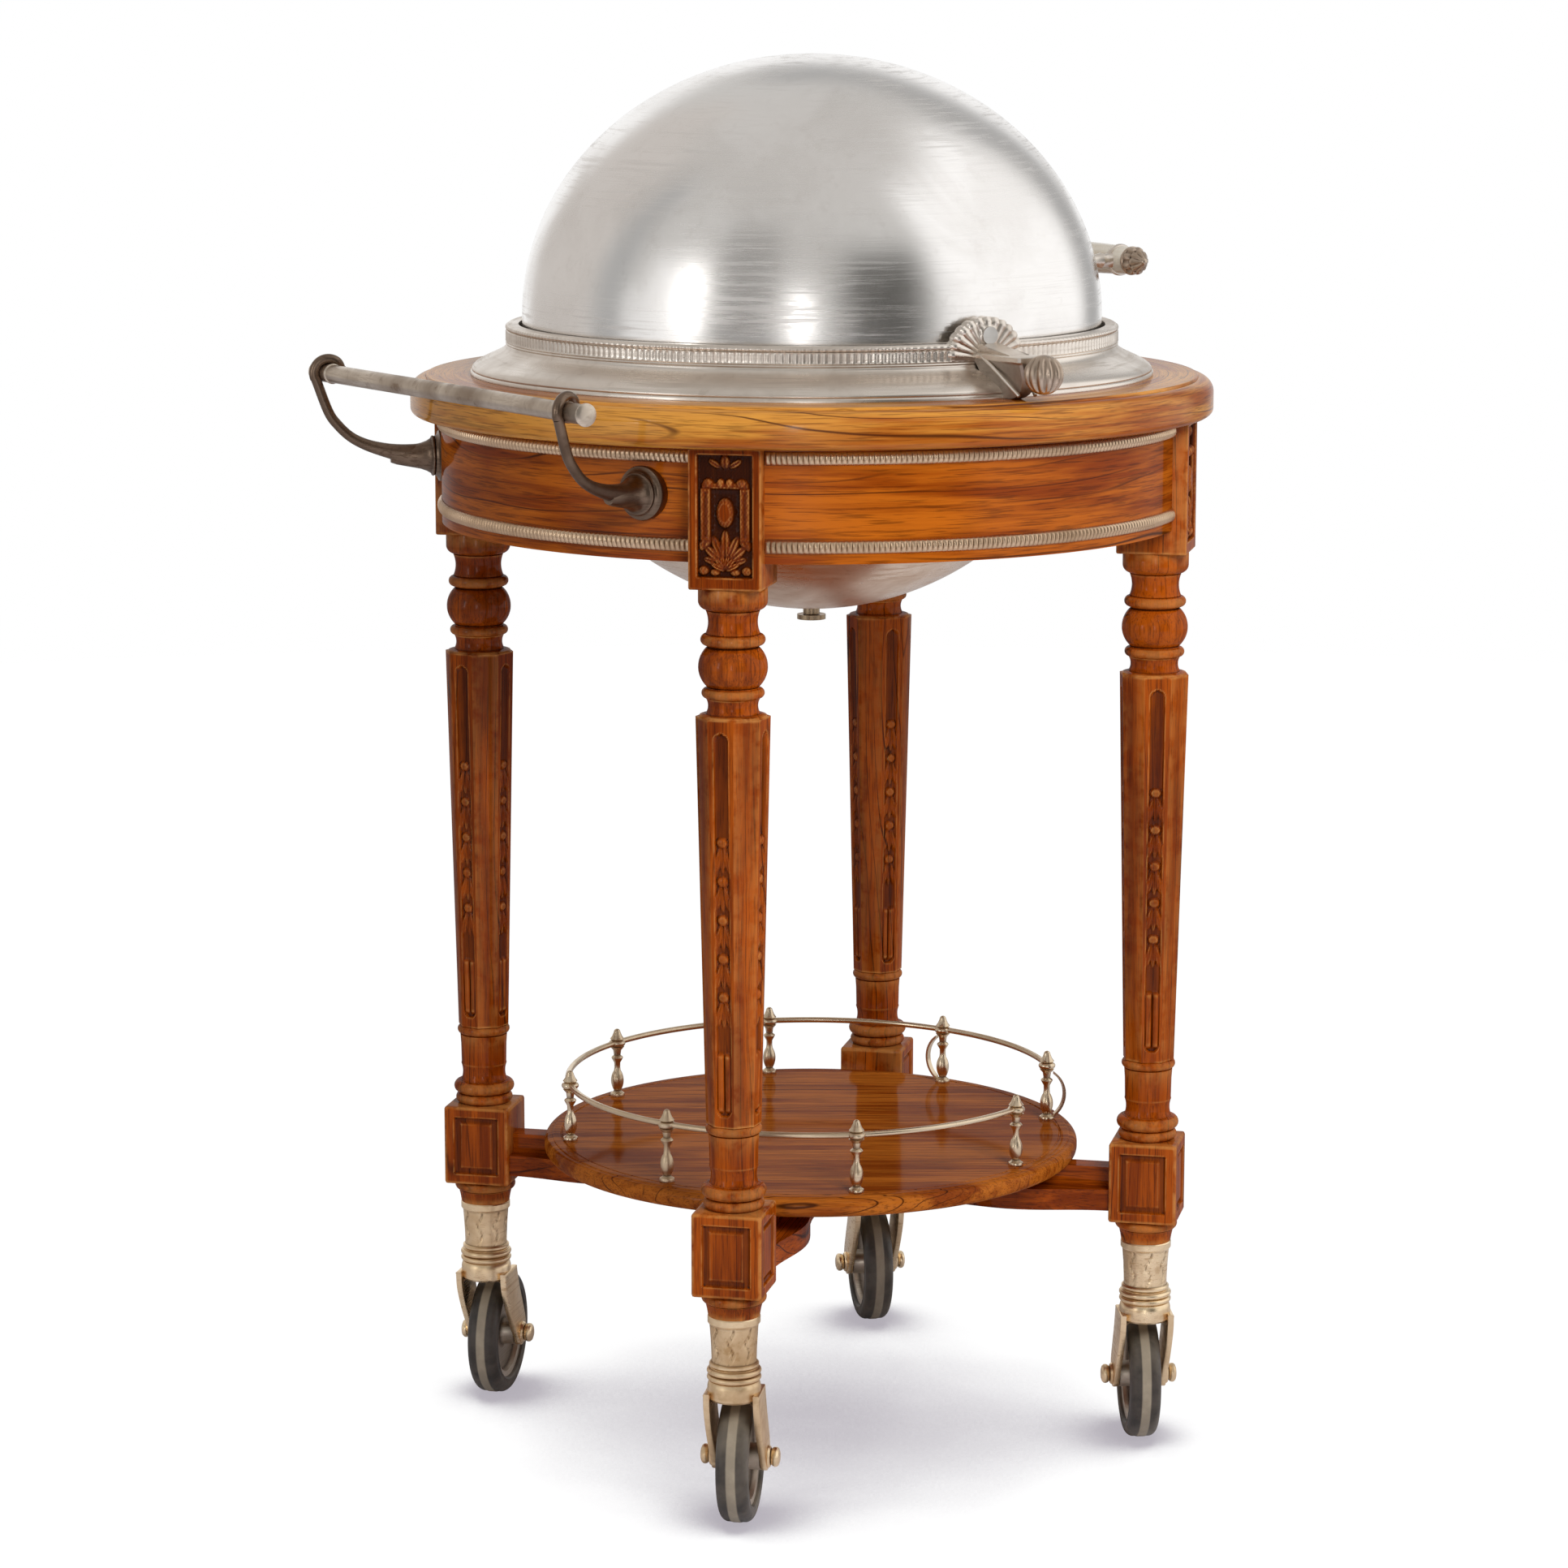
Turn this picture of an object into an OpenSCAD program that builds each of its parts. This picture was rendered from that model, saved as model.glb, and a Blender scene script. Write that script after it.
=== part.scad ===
// Carving trolley: a round wooden table on four turned legs with casters. A plated dome rolls on
// two trunnion pins, over a hot-water pan with a carving platter, and down into a bowl below the top.
// Millimetres, +Z up, floor at z = 0. The push handle is at -X, the grip of the dome at +X and the
// trunnions at +Y and -Y.

/* [Table] */
// How far the leg axes stand inside the apron's outer face
leg_inset = 18; // [14:1:22]
// Overhang of the top board over the apron
board_overhang = 25; // [16:1:34]
// Thickness of the top board
board_t = 32; // [26:1:40]
// Gap from the bowl to the edge of the round opening in the top board
opening_gap = 6; // [3:1:10]
// Radius of the rounded nose of the top board
nose_r = 12; // [8:1:13]
// Height of the apron below the top board
apron_h = 90; // [80:1:105]
// Thickness of the curved apron
apron_t = 20; // [14:1:26]
// Width of the bearer ring under the top board
bearer_w = 36; // [26:1:44]
// Height of the bearer ring
bearer_h = 20; // [12:1:30]
// Height of a strip of ribbed beading
bead_h = 10.5; // [7:0.5:14]
// How far the beading stands proud of the apron
bead_proud = 3.5; // [2:0.5:4.5]
// Gap from the upper beading to the top board
bead_top_gap = 3; // [1:0.5:8]
// Gap from the lower beading to the apron's lower edge
bead_low_gap = 8; // [3:0.5:14]

/* [Legs] */
// Width of the square top block of a leg
top_block_w = 58; // [54:1:64]
// Height of the top block
top_block_h = 110; // [100:1:125]
// Height of the turned neck, ball and collar below the top block
neck_turn_h = 102; // [96:1:120]
// Height of the eight-sided tapering shaft
shaft_h = 326.4; // [280:0.1:380]
// Width across the shaft's flats at its top
shaft_top_w = 54.5; // [50:0.5:57]
// Width across the shaft's flats at its ring
shaft_low_w = 40.6; // [37:0.2:46]
// Width of a carved channel in the shaft
channel_w = 12; // [8:0.5:14]
// Depth of a carved channel
channel_d = 2.5; // [1:0.5:4]
// Height of the lower turning between the bottom block and the ring
low_turn_h = 69; // [62:1:85]
// Width of the square bottom block
low_block_w = 57; // [52:1:62]
// Height of the bottom block
low_block_h = 68.5; // [60:0.5:85]
// Height of the tapered toe above the caster cap
toe_h = 20; // [14:1:30]
// Border left round a sunk panel
panel_border = 9; // [6:0.5:12]
// Depth of a sunk panel
panel_d = 2; // [1:0.5:4]
// Diameter of the ball in the neck
ball_d = 54.5; // [50:0.5:58]
// Height of the ball
ball_h = 32; // [26:1:34]
// Diameter of the neck beside the ball
neck_d = 40; // [34:1:44]

/* [Shelf] */
// Gap from the shelf to a leg's bottom block
shelf_gap = 34; // [26:1:46]
// Thickness of the shelf
shelf_t = 16; // [12:1:20]
// Height of a stretcher with its rail
stretcher_h = 34; // [28:1:40]
// Thickness of a stretcher's shaped board
stretcher_board_t = 18; // [12:1:22]
// Width of a stretcher's board at a leg
stretcher_w = 48; // [34:1:54]
// Width of a stretcher's board at its widest
stretcher_wide = 72; // [56:1:84]
// Width of the rail on a stretcher's board
stretcher_rail_w = 20; // [14:1:30]
// Length of the tenon at each end of a stretcher
tenon_l = 15; // [10:1:22]
// How far the gallery posts stand inside the shelf's edge
gallery_inset = 20.5; // [17:0.5:28]
// Height of the gallery rail's centre above the shelf
rail_h = 48; // [40:1:60]
// Diameter of the gallery rail
rail_d = 5; // [4:0.5:6]
// Number of gallery posts
post_count = 8; // [6:1:12]

/* [Well and pan] */
// Gap from the dome to the inside of the well bowl
bowl_gap = 2.5; // [2:0.5:4]
// Thickness of the bowl's metal
bowl_t = 1.5; // [1:0.5:3]
// Width of the bowl's flange on the top board
flange_w = 19.5; // [17:0.5:24]
// Room between the dome's radius and the water pan's wall
pan_room = 46; // [44:1:60]
// Depth of the water pan below its flange
pan_h = 60; // [40:1:75]
// Thickness of the pan's metal
pan_t = 2; // [1:0.5:3]
// Width of the pan's flange
pan_flange_w = 12; // [10:1:13]
// How far the carving platter reaches over the pan's wall
platter_lap = 6; // [4:1:9]
// Height of the platter with its rim
platter_h = 8; // [6:1:11]
// Radius of the spirit burner
burner_r = 38; // [28:1:44]

/* [Dome] */
// Radius of the dome at its pivots
dome_r = 240; // [230:0.5:250]
// Rise of the dome above its pivots
dome_rise = 214; // [212:1:226]
// Thickness of the dome's metal
dome_t = 1.5; // [1:0.5:2]
// Depth of the dome's rim below its pivots
rim_drop = 17; // [10:1:20]
// Diameter of a pivot pin
pin_d = 8; // [6:1:10]
// Radial running gap between a shaft and the bore that turns on it
run_gap = 0.05; // [0.02:0.01:0.1]
// Height of the plated ring from the board to its collar's top
ring_h = 41; // [34:1:48]
// Gap from the dome to the plated ring's bore
ring_gap = 3; // [2.5:0.5:5]
// Width of the ring's collar
collar_w = 9; // [7:0.5:13]
// How far the ring's foot stands outside its collar
ring_foot_w = 31; // [24:1:38]
// Thickness of the ring's metal
ring_t = 2; // [1:0.5:3]
// Height of the pivots above the ring's collar
pivot_rise = 6; // [5:1:9]
// Gap from the dome to its grip
grip_gap = 27; // [22:1:34]
// Height of the grip above the pivots
grip_rise = 38.5; // [32:0.5:48]
// Diameter of the grip
grip_d = 26; // [20:1:30]
// Length of the grip
grip_l = 132; // [110:2:150]
// Distance between the grip's two posts
grip_posts = 100; // [80:2:104]
// Diameter of the ball knob on a trunnion bracket
knob_d = 31; // [26:1:34]
// How far the ball knob's middle stands inside the top board's nose
knob_inset = 3.5; // [-3:0.5:9]

/* [Push handle] */
// Diameter of the push bar
bar_d = 15; // [12:1:18]
// Length of the push bar
bar_l = 436; // [420:2:470]
// Gap from the top board to the push bar
bar_gap = 7.5; // [2:0.5:32]
// Height of the push bar above the foot of its arms
bar_rise = 70; // [62:1:80]
// Distance from each end of the bar to its arm
arm_inset = 20; // [14:1:28]
// Angle of each arm's foot from the handle's middle, as seen from above
arm_angle = 32; // [29:1:34]
// Diameter of a foot's flare on the apron
foot_d = 43; // [34:1:48]
// Diameter of an arm at its thin end
arm_d = 8.4; // [6:0.2:10]

/* [Casters] */
// Diameter of a wheel over its tyre
wheel_d = 108; // [96:1:116]
// Width of a tyre
tyre_w = 26.5; // [20:0.5:30]
// Depth of the rubber round the wheel
tyre_t = 14; // [9:1:18]
// Distance of the wheel's axle behind the swivel's axis
trail = 32; // [24:1:36]
// Width over the fork's cheeks
fork_w = 43; // [41:1:48]
// Thickness of a fork's cheek
cheek_t = 4; // [3:0.5:5]
// Diameter of the axle
axle_d = 10; // [8:1:12]
// Length over the axle's domed nuts
axle_l = 65; // [60:1:74]
// Height of the brass cap on the leg's toe
cap_h = 42; // [36:1:52]
// Diameter of the cap at its top
cap_d = 42.5; // [39:0.5:46]
// Turn of the rear right caster, from +X
rear_right_turn = 49; // [0:1:359]
// Turn of the rear left caster, from +X
rear_left_turn = 44; // [0:1:359]
// Turn of the front right caster, from +X
front_right_turn = 61; // [0:1:359]
// Turn of the front left caster, from +X
front_left_turn = 67; // [0:1:359]

/* [Hidden] */

$fn = 96;
// Facets of the large curves that small pieces are cut to
fine = 360;

// Colours
wood = "#8a4a20";
dark_wood = "#6d3717";
silver = "#cfcdc9";
worn_silver = "#a9a398";
pewter = "#6f6660";
brass = "#a8935f";
ivory = "#e6dfd0";
rubber = "#35332f";

// Directions of the four legs, as angles from +X
front_left = 45;
rear_left = 135;
rear_right = 225;
front_right = 315;
CORNERS = [front_left, rear_left, rear_right, front_right];

// Fits and small shared sizes
fit_gap = 0.1;
bearer_gap = 2;
lap = 1;
big = 1000;

// Radii from the dome outwards
grip_x = dome_r + grip_gap + grip_d / 2;
ring_bore_r = dome_r + ring_gap;
collar_r = ring_bore_r + collar_w;
ring_foot_r = collar_r + ring_foot_w;
bowl_r = dome_r + bowl_gap;
flange_r = bowl_r + flange_w;
opening_r = bowl_r + bowl_t + opening_gap;
bearer_r = opening_r + bearer_gap;
apron_in_r = bearer_r + bearer_w;
apron_r = apron_in_r + apron_t;
leg_circle_r = apron_r - leg_inset;
board_r = apron_r + board_overhang;
knob_x = board_r - knob_inset;
bar_x = board_r + bar_gap + bar_d / 2;
arm_y = bar_l / 2 - arm_inset;

// Radii from the dome and the legs inwards
pan_r = dome_r - pan_room;
platter_r = pan_r + platter_lap;
shelf_r = leg_circle_r - low_block_w / 2 - shelf_gap;
gallery_r = shelf_r - gallery_inset;

// Caster heights, from the floor up
axle_z = wheel_d / 2;
crown_gap = 3.5;
crown_h = 16.8;
swivel_collar_h = 11.5;
swivel_gap = 0.2;
crown_z = wheel_d + crown_gap;
collar_z = crown_z + crown_h;
cap_z = collar_z + swivel_collar_h + swivel_gap;

// Leg heights, from the caster up
toe_z = cap_z + cap_h;
low_block_z = toe_z + toe_h;
low_turn_z = low_block_z + low_block_h;
ring_z = low_turn_z + low_turn_h;
neck_z = ring_z + shaft_h;
top_block_z = neck_z + neck_turn_h;
board_z = top_block_z + top_block_h;
board_top_z = board_z + board_t;

// Dome heights
collar_top_z = board_top_z + ring_h;
pivot_z = collar_top_z + pivot_rise;

// Feet of the push handle's arms, and the way that an arm goes from its foot to the bar
foot_x = apron_r * cos(arm_angle);
foot_y = apron_r * sin(arm_angle);
arm_heading = atan2(arm_y - foot_y, bar_x - foot_x);
arm_reach = norm([bar_x - foot_x, arm_y - foot_y]);
arm_curl_r = bar_d / 2 + arm_d / 2 + fit_gap;

// Where the dome's axis stands: the origin is in the middle of the whole object's footprint
handle_reach = bar_x + arm_curl_r * cos(arm_heading) + arm_d / 2;
axis_x = (handle_reach - board_r) / 2;

// Points of an arc round centre c
function arc(c, r, from, to, n = 8) =
    [for (i = [0 : n]) c + r * [cos(from + (to - from) * i / n), sin(from + (to - from) * i / n)]];
// A half-round moulding on a turned piece, h high, whose outermost radius is r
function bead_points(z, h, r) = arc([r - h / 2, z], h / 2, -90, 90);
// A bulge h high round height z, out to radius r from radius neck
function bulge_points(z, h, r, neck) =
    let (sag = r - neck, rad = (h * h / 4 + sag * sag) / (2 * sag), a = asin(h / 2 / rad))
    arc([r - rad, z], rad, -a, a, 12);
// A hollow moulding h high round height z, in to radius r from radius rim
function cove_points(z, h, r, rim) =
    let (sag = rim - r, rad = (h * h / 4 + sag * sag) / (2 * sag), a = asin(h / 2 / rad))
    arc([r + rad, z], rad, 180 + a, 180 - a, 8);

// Puts a piece on the dome's axis
module on_axis() translate([axis_x, 0, 0]) children();
// Puts a piece that is drawn round the origin at a leg
module at_leg(corner) rotate([0, 0, corner]) translate([leg_circle_r, 0, 0]) children();
// A solid turned from outline points that run upwards
module turned(points)
    rotate_extrude()
        polygon(concat([[0, points[0][1]]], points, [[0, points[len(points) - 1][1]]]));
// A centred square bar of width w from height z
module square_bar(w, z, h) translate([-w / 2, -w / 2, z]) cube([w, w, h]);
// A flat outline drawn in the radial plane (x outwards, y upwards), w thick along the tangent
module radial_plate(w) rotate([90, 0, 0]) linear_extrude(w, center = true) children();

// ---- legs ----

low_bead_h = 9;
low_bead_r = 24.5;
low_torus_h = 11;
low_torus_r = 26;
low_neck_r = 19.5;
low_ring_h = 8;
low_ring_r = 22.5;
low_cove_h = 14;
astragal_low_z = 18.5;
astragal_low_h = 8;
astragal_low_r = 24.75;
ball_z = 39;
astragal_up_z = 60.5;
astragal_up_h = 9;
astragal_up_r = 25.5;
collar_h = 18;
collar_round = 7;
toe_top_r = 25;
toe_low_r = 21;
tenon_r = 15;
socket_depth = 22;
mortise_w = 12;
mortise_h = 18;
channel_margin = 12;
octagon = 8;

module lower_turning()
    turned(concat(
        [[low_bead_r - low_bead_h / 2, low_turn_z - lap]],
        bead_points(low_turn_z + low_bead_h / 2, low_bead_h, low_bead_r),
        bead_points(low_turn_z + low_bead_h + low_torus_h / 2, low_torus_h, low_torus_r),
        cove_points(low_turn_z + low_bead_h + low_torus_h + low_cove_h / 2, low_cove_h,
            low_neck_r - 1, low_neck_r),
        [[low_neck_r, ring_z - low_ring_h]],
        bead_points(ring_z - low_ring_h / 2, low_ring_h, low_ring_r),
        [[shaft_low_w / 2, ring_z], [shaft_low_w / 2, ring_z + lap]]));

module neck_turning()
    turned(concat(
        [[neck_d / 2, neck_z - lap], [neck_d / 2 - 1, neck_z + astragal_low_z - astragal_low_h / 2]],
        bead_points(neck_z + astragal_low_z, astragal_low_h, astragal_low_r),
        bulge_points(neck_z + ball_z, ball_h, ball_d / 2, neck_d / 2),
        bead_points(neck_z + astragal_up_z, astragal_up_h, astragal_up_r),
        [[neck_d / 2, neck_z + astragal_up_z + astragal_up_h / 2],
         [neck_d / 2, top_block_z - collar_h - 2]],
        arc([ball_d / 2 - collar_round, top_block_z - collar_h + collar_round], collar_round, -90, 0),
        [[ball_d / 2, top_block_z + lap]]));

module tapered_shaft() {
    taper = atan((shaft_top_w - shaft_low_w) / 2 / shaft_h);
    corner_scale = 1 / cos(180 / octagon);
    difference() {
        translate([0, 0, ring_z])
            rotate([0, 0, 180 / octagon])
                cylinder(r1 = shaft_low_w / 2 * corner_scale, r2 = shaft_top_w / 2 * corner_scale,
                    h = shaft_h, $fn = octagon);
        for (side = [0 : 90 : 270])
            rotate([0, 0, side])
                translate([shaft_low_w / 2, 0, ring_z])
                    rotate([0, taper, 0])
                        translate([-channel_d, -channel_w / 2, channel_margin])
                            cube([2 * channel_d, channel_w, shaft_h - 2 * channel_margin]);
    }
}

// A sunk panel in the face of a square block of width w, on its +X side
module sunk_panel(w, z, h)
    translate([w / 2 - panel_d, -w / 2 + panel_border, z + panel_border])
        cube([panel_d + lap, w - 2 * panel_border, h - 2 * panel_border]);

module leg(corner)
    color(wood) at_leg(corner) {
        difference() {
            square_bar(top_block_w, top_block_z, top_block_h);
            sunk_panel(top_block_w, top_block_z, top_block_h);
        }
        neck_turning();
        tapered_shaft();
        lower_turning();
        difference() {
            square_bar(low_block_w, low_block_z, low_block_h);
            for (side = [-90 : 90 : 90])
                rotate([0, 0, side]) sunk_panel(low_block_w, low_block_z, low_block_h);
            translate([-low_block_w / 2 - lap, -mortise_w / 2 - fit_gap,
                    low_block_z + stretcher_low + (stretcher_h - mortise_h) / 2 - fit_gap])
                cube([tenon_l + fit_gap + lap, mortise_w + 2 * fit_gap, mortise_h + 2 * fit_gap]);
        }
        translate([0, 0, toe_z]) cylinder(r1 = toe_low_r, r2 = toe_top_r, h = toe_h + lap);
        translate([0, 0, toe_z - socket_depth]) cylinder(r = tenon_r, h = socket_depth + lap);
    }

// ---- apron, beading, bearer and top board ----

// A ring of square section between two radii
module ring(r_in, r_out, z, h)
    rotate_extrude() translate([r_in, z]) square([r_out - r_in, h]);
// The room that the four top blocks take
module block_room(gap = 0)
    for (corner = CORNERS)
        at_leg(corner) square_bar(top_block_w + 2 * gap, top_block_z - big, 2 * big);
// One quarter of the table, round direction a
module quarter(a) rotate([0, 0, a - 45]) cube([big, big, 2 * big]);

module apron(direction)
    color(wood)
        intersection() {
            difference() {
                ring(apron_in_r, apron_r, board_z - apron_h, apron_h);
                block_room();
            }
            quarter(direction);
        }

module beading(z)
    color(worn_silver)
        difference() {
            rotate_extrude()
                intersection() {
                    translate([apron_r + bead_proud - bead_h / 2, z]) circle(r = bead_h / 2);
                    translate([apron_r, z - bead_h]) square([bead_h, 2 * bead_h]);
                }
            block_room();
        }
module beading_upper() beading(board_z - bead_top_gap - bead_h / 2);
module beading_lower() beading(board_z - apron_h + bead_low_gap + bead_h / 2);

module top_bearer()
    color(dark_wood)
        difference() {
            ring(bearer_r, apron_in_r, board_z - bearer_h, bearer_h);
            block_room();
        }

// The top face's small step inside the nose, and the rounding below the nose
step_h = 2;
under_round = 5;

module top_board()
    color(wood)
        rotate_extrude()
            polygon(concat(
                [[opening_r, board_z]],
                arc([board_r - under_round, board_z + under_round], under_round, -90, 0, 6),
                arc([board_r - nose_r, board_top_z - step_h - nose_r], nose_r, 0, 90, 10),
                [[board_r - nose_r - lap, board_top_z - step_h], [board_r - nose_r - lap, board_top_z],
                 [opening_r, board_top_z]]));

// ---- shelf, stretchers and gallery ----

stretcher_low = 9;
stretcher_z = low_block_z + stretcher_low;
shelf_z = stretcher_z + stretcher_h;
shelf_top_z = shelf_z + shelf_t;
shelf_edge_r = 6;
shelf_step_h = 0.8;
screw_r = 2;
screw_head_r = 4.2;
screw_head_h = 3;
screw_bite = 9;
screw_reach = shelf_r - 107.5;
board_h_z = stretcher_z + stretcher_board_t;
stretcher_end = leg_circle_r - low_block_w / 2;
swell_end = stretcher_end - 161.5;
swell_steps = 24;
post_turn = 22.5;
open_bay = 6;
rail_z = shelf_top_z + rail_h;
post_foot_r = 6;
post_foot_h = 4;
post_neck_r = 3;
post_belly_r = 5.2;
post_belly_h = 24;
post_collar_r = 5;
post_head_r = 6.2;
post_head_h = 13;
post_tip_r = 3;
post_tip_h = 6;

// The places of the shelf screws along the stretchers
module screw_spots()
    for (corner = CORNERS)
        rotate([0, 0, corner]) translate([screw_reach, 0, 0]) children();

module shelf()
    color(wood)
        difference() {
            rotate_extrude()
                polygon(concat(
                    [[0, shelf_z]],
                    arc([shelf_r - shelf_edge_r, shelf_z + shelf_edge_r], shelf_edge_r, -90, 0, 6),
                    arc([shelf_r - shelf_edge_r, shelf_top_z - shelf_step_h - shelf_edge_r], shelf_edge_r,
                        0, 90, 6),
                    [[shelf_r - shelf_edge_r - lap, shelf_top_z], [0, shelf_top_z]]));
            screw_spots() translate([0, 0, shelf_z - lap])
                cylinder(r = screw_r + fit_gap, h = screw_bite + lap);
        }

// Half the width of a stretcher's board at distance r from the middle
function stretcher_half(r) =
    let (t = (stretcher_end - r) / (stretcher_end - swell_end))
    (stretcher_w + (t < 1 ? (stretcher_wide - stretcher_w) * pow(sin(180 * t), 2) : 0)) / 2;
module stretcher_board(corner, low, high, gap = 0)
    rotate([0, 0, corner]) translate([0, 0, low]) linear_extrude(high - low)
        polygon([for (side = [-1, 1], i = [-swell_steps : swell_steps])
            let (x = -side * stretcher_end * i / swell_steps)
            [x, side * (stretcher_half(abs(x)) + gap)]]);
module stretcher_rail(corner, low, high, gap = 0)
    rotate([0, 0, corner]) translate([-stretcher_end, -stretcher_rail_w / 2 - gap, low])
        cube([2 * stretcher_end, stretcher_rail_w + 2 * gap, high - low]);
module stretcher(corner)
    difference() {
        union() {
            stretcher_board(corner, stretcher_z, board_h_z);
            stretcher_rail(corner, board_h_z - lap, shelf_z);
            rotate([0, 0, corner])
                translate([-stretcher_end - tenon_l, -mortise_w / 2,
                        stretcher_z + (stretcher_h - mortise_h) / 2])
                    cube([2 * (stretcher_end + tenon_l), mortise_w, mortise_h]);
        }
        screw_spots() translate([0, 0, stretcher_z - lap]) {
            cylinder(r = screw_r + fit_gap, h = stretcher_h + 2 * lap);
            cylinder(r = screw_head_r + fit_gap, h = screw_head_h + fit_gap + lap);
        }
    }

// The long stretcher keeps its whole board; the cross stretcher's rail passes over it
module stretcher_long()
    color(dark_wood)
        difference() {
            stretcher(front_left);
            stretcher_rail(rear_left, board_h_z, shelf_z + lap, fit_gap);
        }
module stretcher_cross()
    color(dark_wood)
        difference() {
            stretcher(rear_left);
            stretcher_board(front_left, stretcher_z - lap, board_h_z, fit_gap);
        }

module shelf_screws()
    color(pewter) screw_spots() {
        translate([0, 0, stretcher_z]) cylinder(r = screw_head_r, h = screw_head_h);
        translate([0, 0, stretcher_z + screw_head_h - lap])
            cylinder(r = screw_r, h = stretcher_h - screw_head_h + screw_bite);
    }

module gallery_post()
    turned(concat(
        [[post_foot_r, shelf_top_z], [post_foot_r, shelf_top_z + post_foot_h]],
        bulge_points(shelf_top_z + post_foot_h + post_belly_h / 2, post_belly_h, post_belly_r, post_neck_r),
        [[post_collar_r, rail_z - post_head_h], [post_collar_r, rail_z - post_head_h + 2]],
        bulge_points(rail_z + 1, post_head_h, post_head_r, post_tip_r),
        arc([0, rail_z + post_head_h / 2 + post_tip_h / 2], post_tip_r, -30, 80, 6)));

module gallery_ring(gap = 0)
    rotate([0, 0, open_angle_from])
        rotate_extrude(angle = 360 - 360 / post_count)
            translate([gallery_r, rail_z]) circle(r = rail_d / 2 + gap, $fn = 24);
open_angle_from = post_turn + (open_bay + 1) * 360 / post_count;

module gallery_posts()
    color(worn_silver)
        difference() {
            for (i = [0 : post_count - 1])
                rotate([0, 0, post_turn + i * 360 / post_count])
                    translate([gallery_r, 0, 0]) gallery_post();
            gallery_ring(fit_gap);
        }

module gallery_rail() color(silver) gallery_ring();

brace_r = 22;
brace_w = 5;
brace_t = 2;
// How far the bow's centre lies behind the post's head
brace_back = 13.6;

// A bowed strap on the outer side of a gallery post
module brace(post, turn)
    rotate([0, 0, post_turn + post * 360 / post_count])
        translate([gallery_r, 0, 0]) rotate([0, 0, turn])
            radial_plate(brace_w)
                intersection() {
                    translate([post_head_r - brace_back, shelf_top_z + brace_r]) difference() {
                        circle(r = brace_r + brace_t);
                        circle(r = brace_r);
                    }
                    translate([post_foot_r + fit_gap, shelf_top_z]) square([brace_r, 2 * brace_r]);
                }
module gallery_braces()
    color(worn_silver) {
        brace(open_bay + 1, 0);
        brace(0, 90);
    }

// ---- dome ring, well bowl and drain ----

ring_foot_h = 3;
collar_band_h = 15;
ogee_steps = 12;
band_proud = 2;

function ogee_points() =
    let (z0 = board_top_z + ring_foot_h, z1 = collar_top_z - collar_band_h)
    [for (i = [0 : ogee_steps]) let (t = i / ogee_steps)
        [ring_foot_r - (ring_foot_r - collar_r) * (1 - cos(180 * t)) / 2, z0 + (z1 - z0) * t]];

// The filled section of the plated ring
module ring_section()
    polygon(concat(
        [[ring_bore_r, board_top_z], [ring_foot_r, board_top_z]],
        ogee_points(),
        bulge_points(collar_top_z - collar_band_h / 2, collar_band_h - 1, collar_r + band_proud, collar_r),
        [[collar_r, collar_top_z], [ring_bore_r, collar_top_z]]));
module ring_solid() rotate_extrude() ring_section();

module dome_ring()
    color(silver)
        rotate_extrude()
            difference() {
                ring_section();
                intersection() {
                    translate([-ring_t, -ring_t]) ring_section();
                    translate([ring_bore_r + ring_t, 0]) square([big, 2 * big]);
                }
                translate([ring_bore_r - lap, board_top_z - lap])
                    square([flange_r - ring_bore_r + lap + fit_gap, bowl_t + lap]);
            }

drain_stem_r = 4;
drain_boss_r = 7;
drain_boss_h = 6;
drain_disc_r = 12;
drain_disc_h = 4;
drain_gap = 0.5;
bowl_low_z = pivot_z - bowl_r - bowl_t;

module drain_bore()
    translate([0, 0, bowl_low_z - drain_boss_h - lap])
        cylinder(r = drain_stem_r + run_gap, h = drain_boss_h + 4 * bowl_t + lap);

module well_bowl()
    color(silver)
        difference() {
            union() {
                difference() {
                    translate([0, 0, pivot_z]) sphere(r = bowl_r + bowl_t);
                    translate([-big, -big, board_top_z + bowl_t]) cube([2 * big, 2 * big, big]);
                }
                translate([0, 0, board_top_z]) cylinder(r = flange_r, h = bowl_t);
            }
            translate([0, 0, pivot_z]) sphere(r = bowl_r);
            drain_bore();
        }

module drain_boss()
    color(worn_silver)
        difference() {
            translate([0, 0, bowl_low_z - drain_boss_h])
                cylinder(r = drain_boss_r, h = drain_boss_h + bowl_t);
            translate([0, 0, pivot_z]) sphere(r = bowl_r + bowl_t, $fn = fine);
            drain_bore();
        }

module drain_plug() {
    disc_z = bowl_low_z - drain_boss_h - drain_gap - drain_disc_h;
    color(worn_silver) {
        translate([0, 0, disc_z]) cylinder(r = drain_disc_r, h = drain_disc_h);
        translate([0, 0, disc_z + drain_disc_h - lap])
            cylinder(r = drain_stem_r, h = drain_boss_h + drain_gap + lap);
    }
}

// ---- trunnions ----

plate_x = ring_bore_r + ring_t;
plate_t = 10;
plate_w = 60;
plate_h = 29;
cup_w = 24;
cup_top_h = 34;
cup_slope = 8;
cup_curve_r = 20.5;
head_room = 2;
cup_x = knob_x - 13.5;
knob_z = board_top_z + 21.5;
knob_stem_r = 6;
knob_neck_r = 8;
knob_tail = 20;
pin_head_r = 7;
pin_head_h = 3;
pin_in_x = dome_r - 17;

// Both sides of the trunnion axis, drawn with +X outwards
module both_trunnions()
    for (side = [-90, 90]) rotate([0, 0, side]) children();
module along_x(x, r, l, z) translate([x, 0, z]) rotate([0, 90, 0]) cylinder(r = r, h = l);

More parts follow.
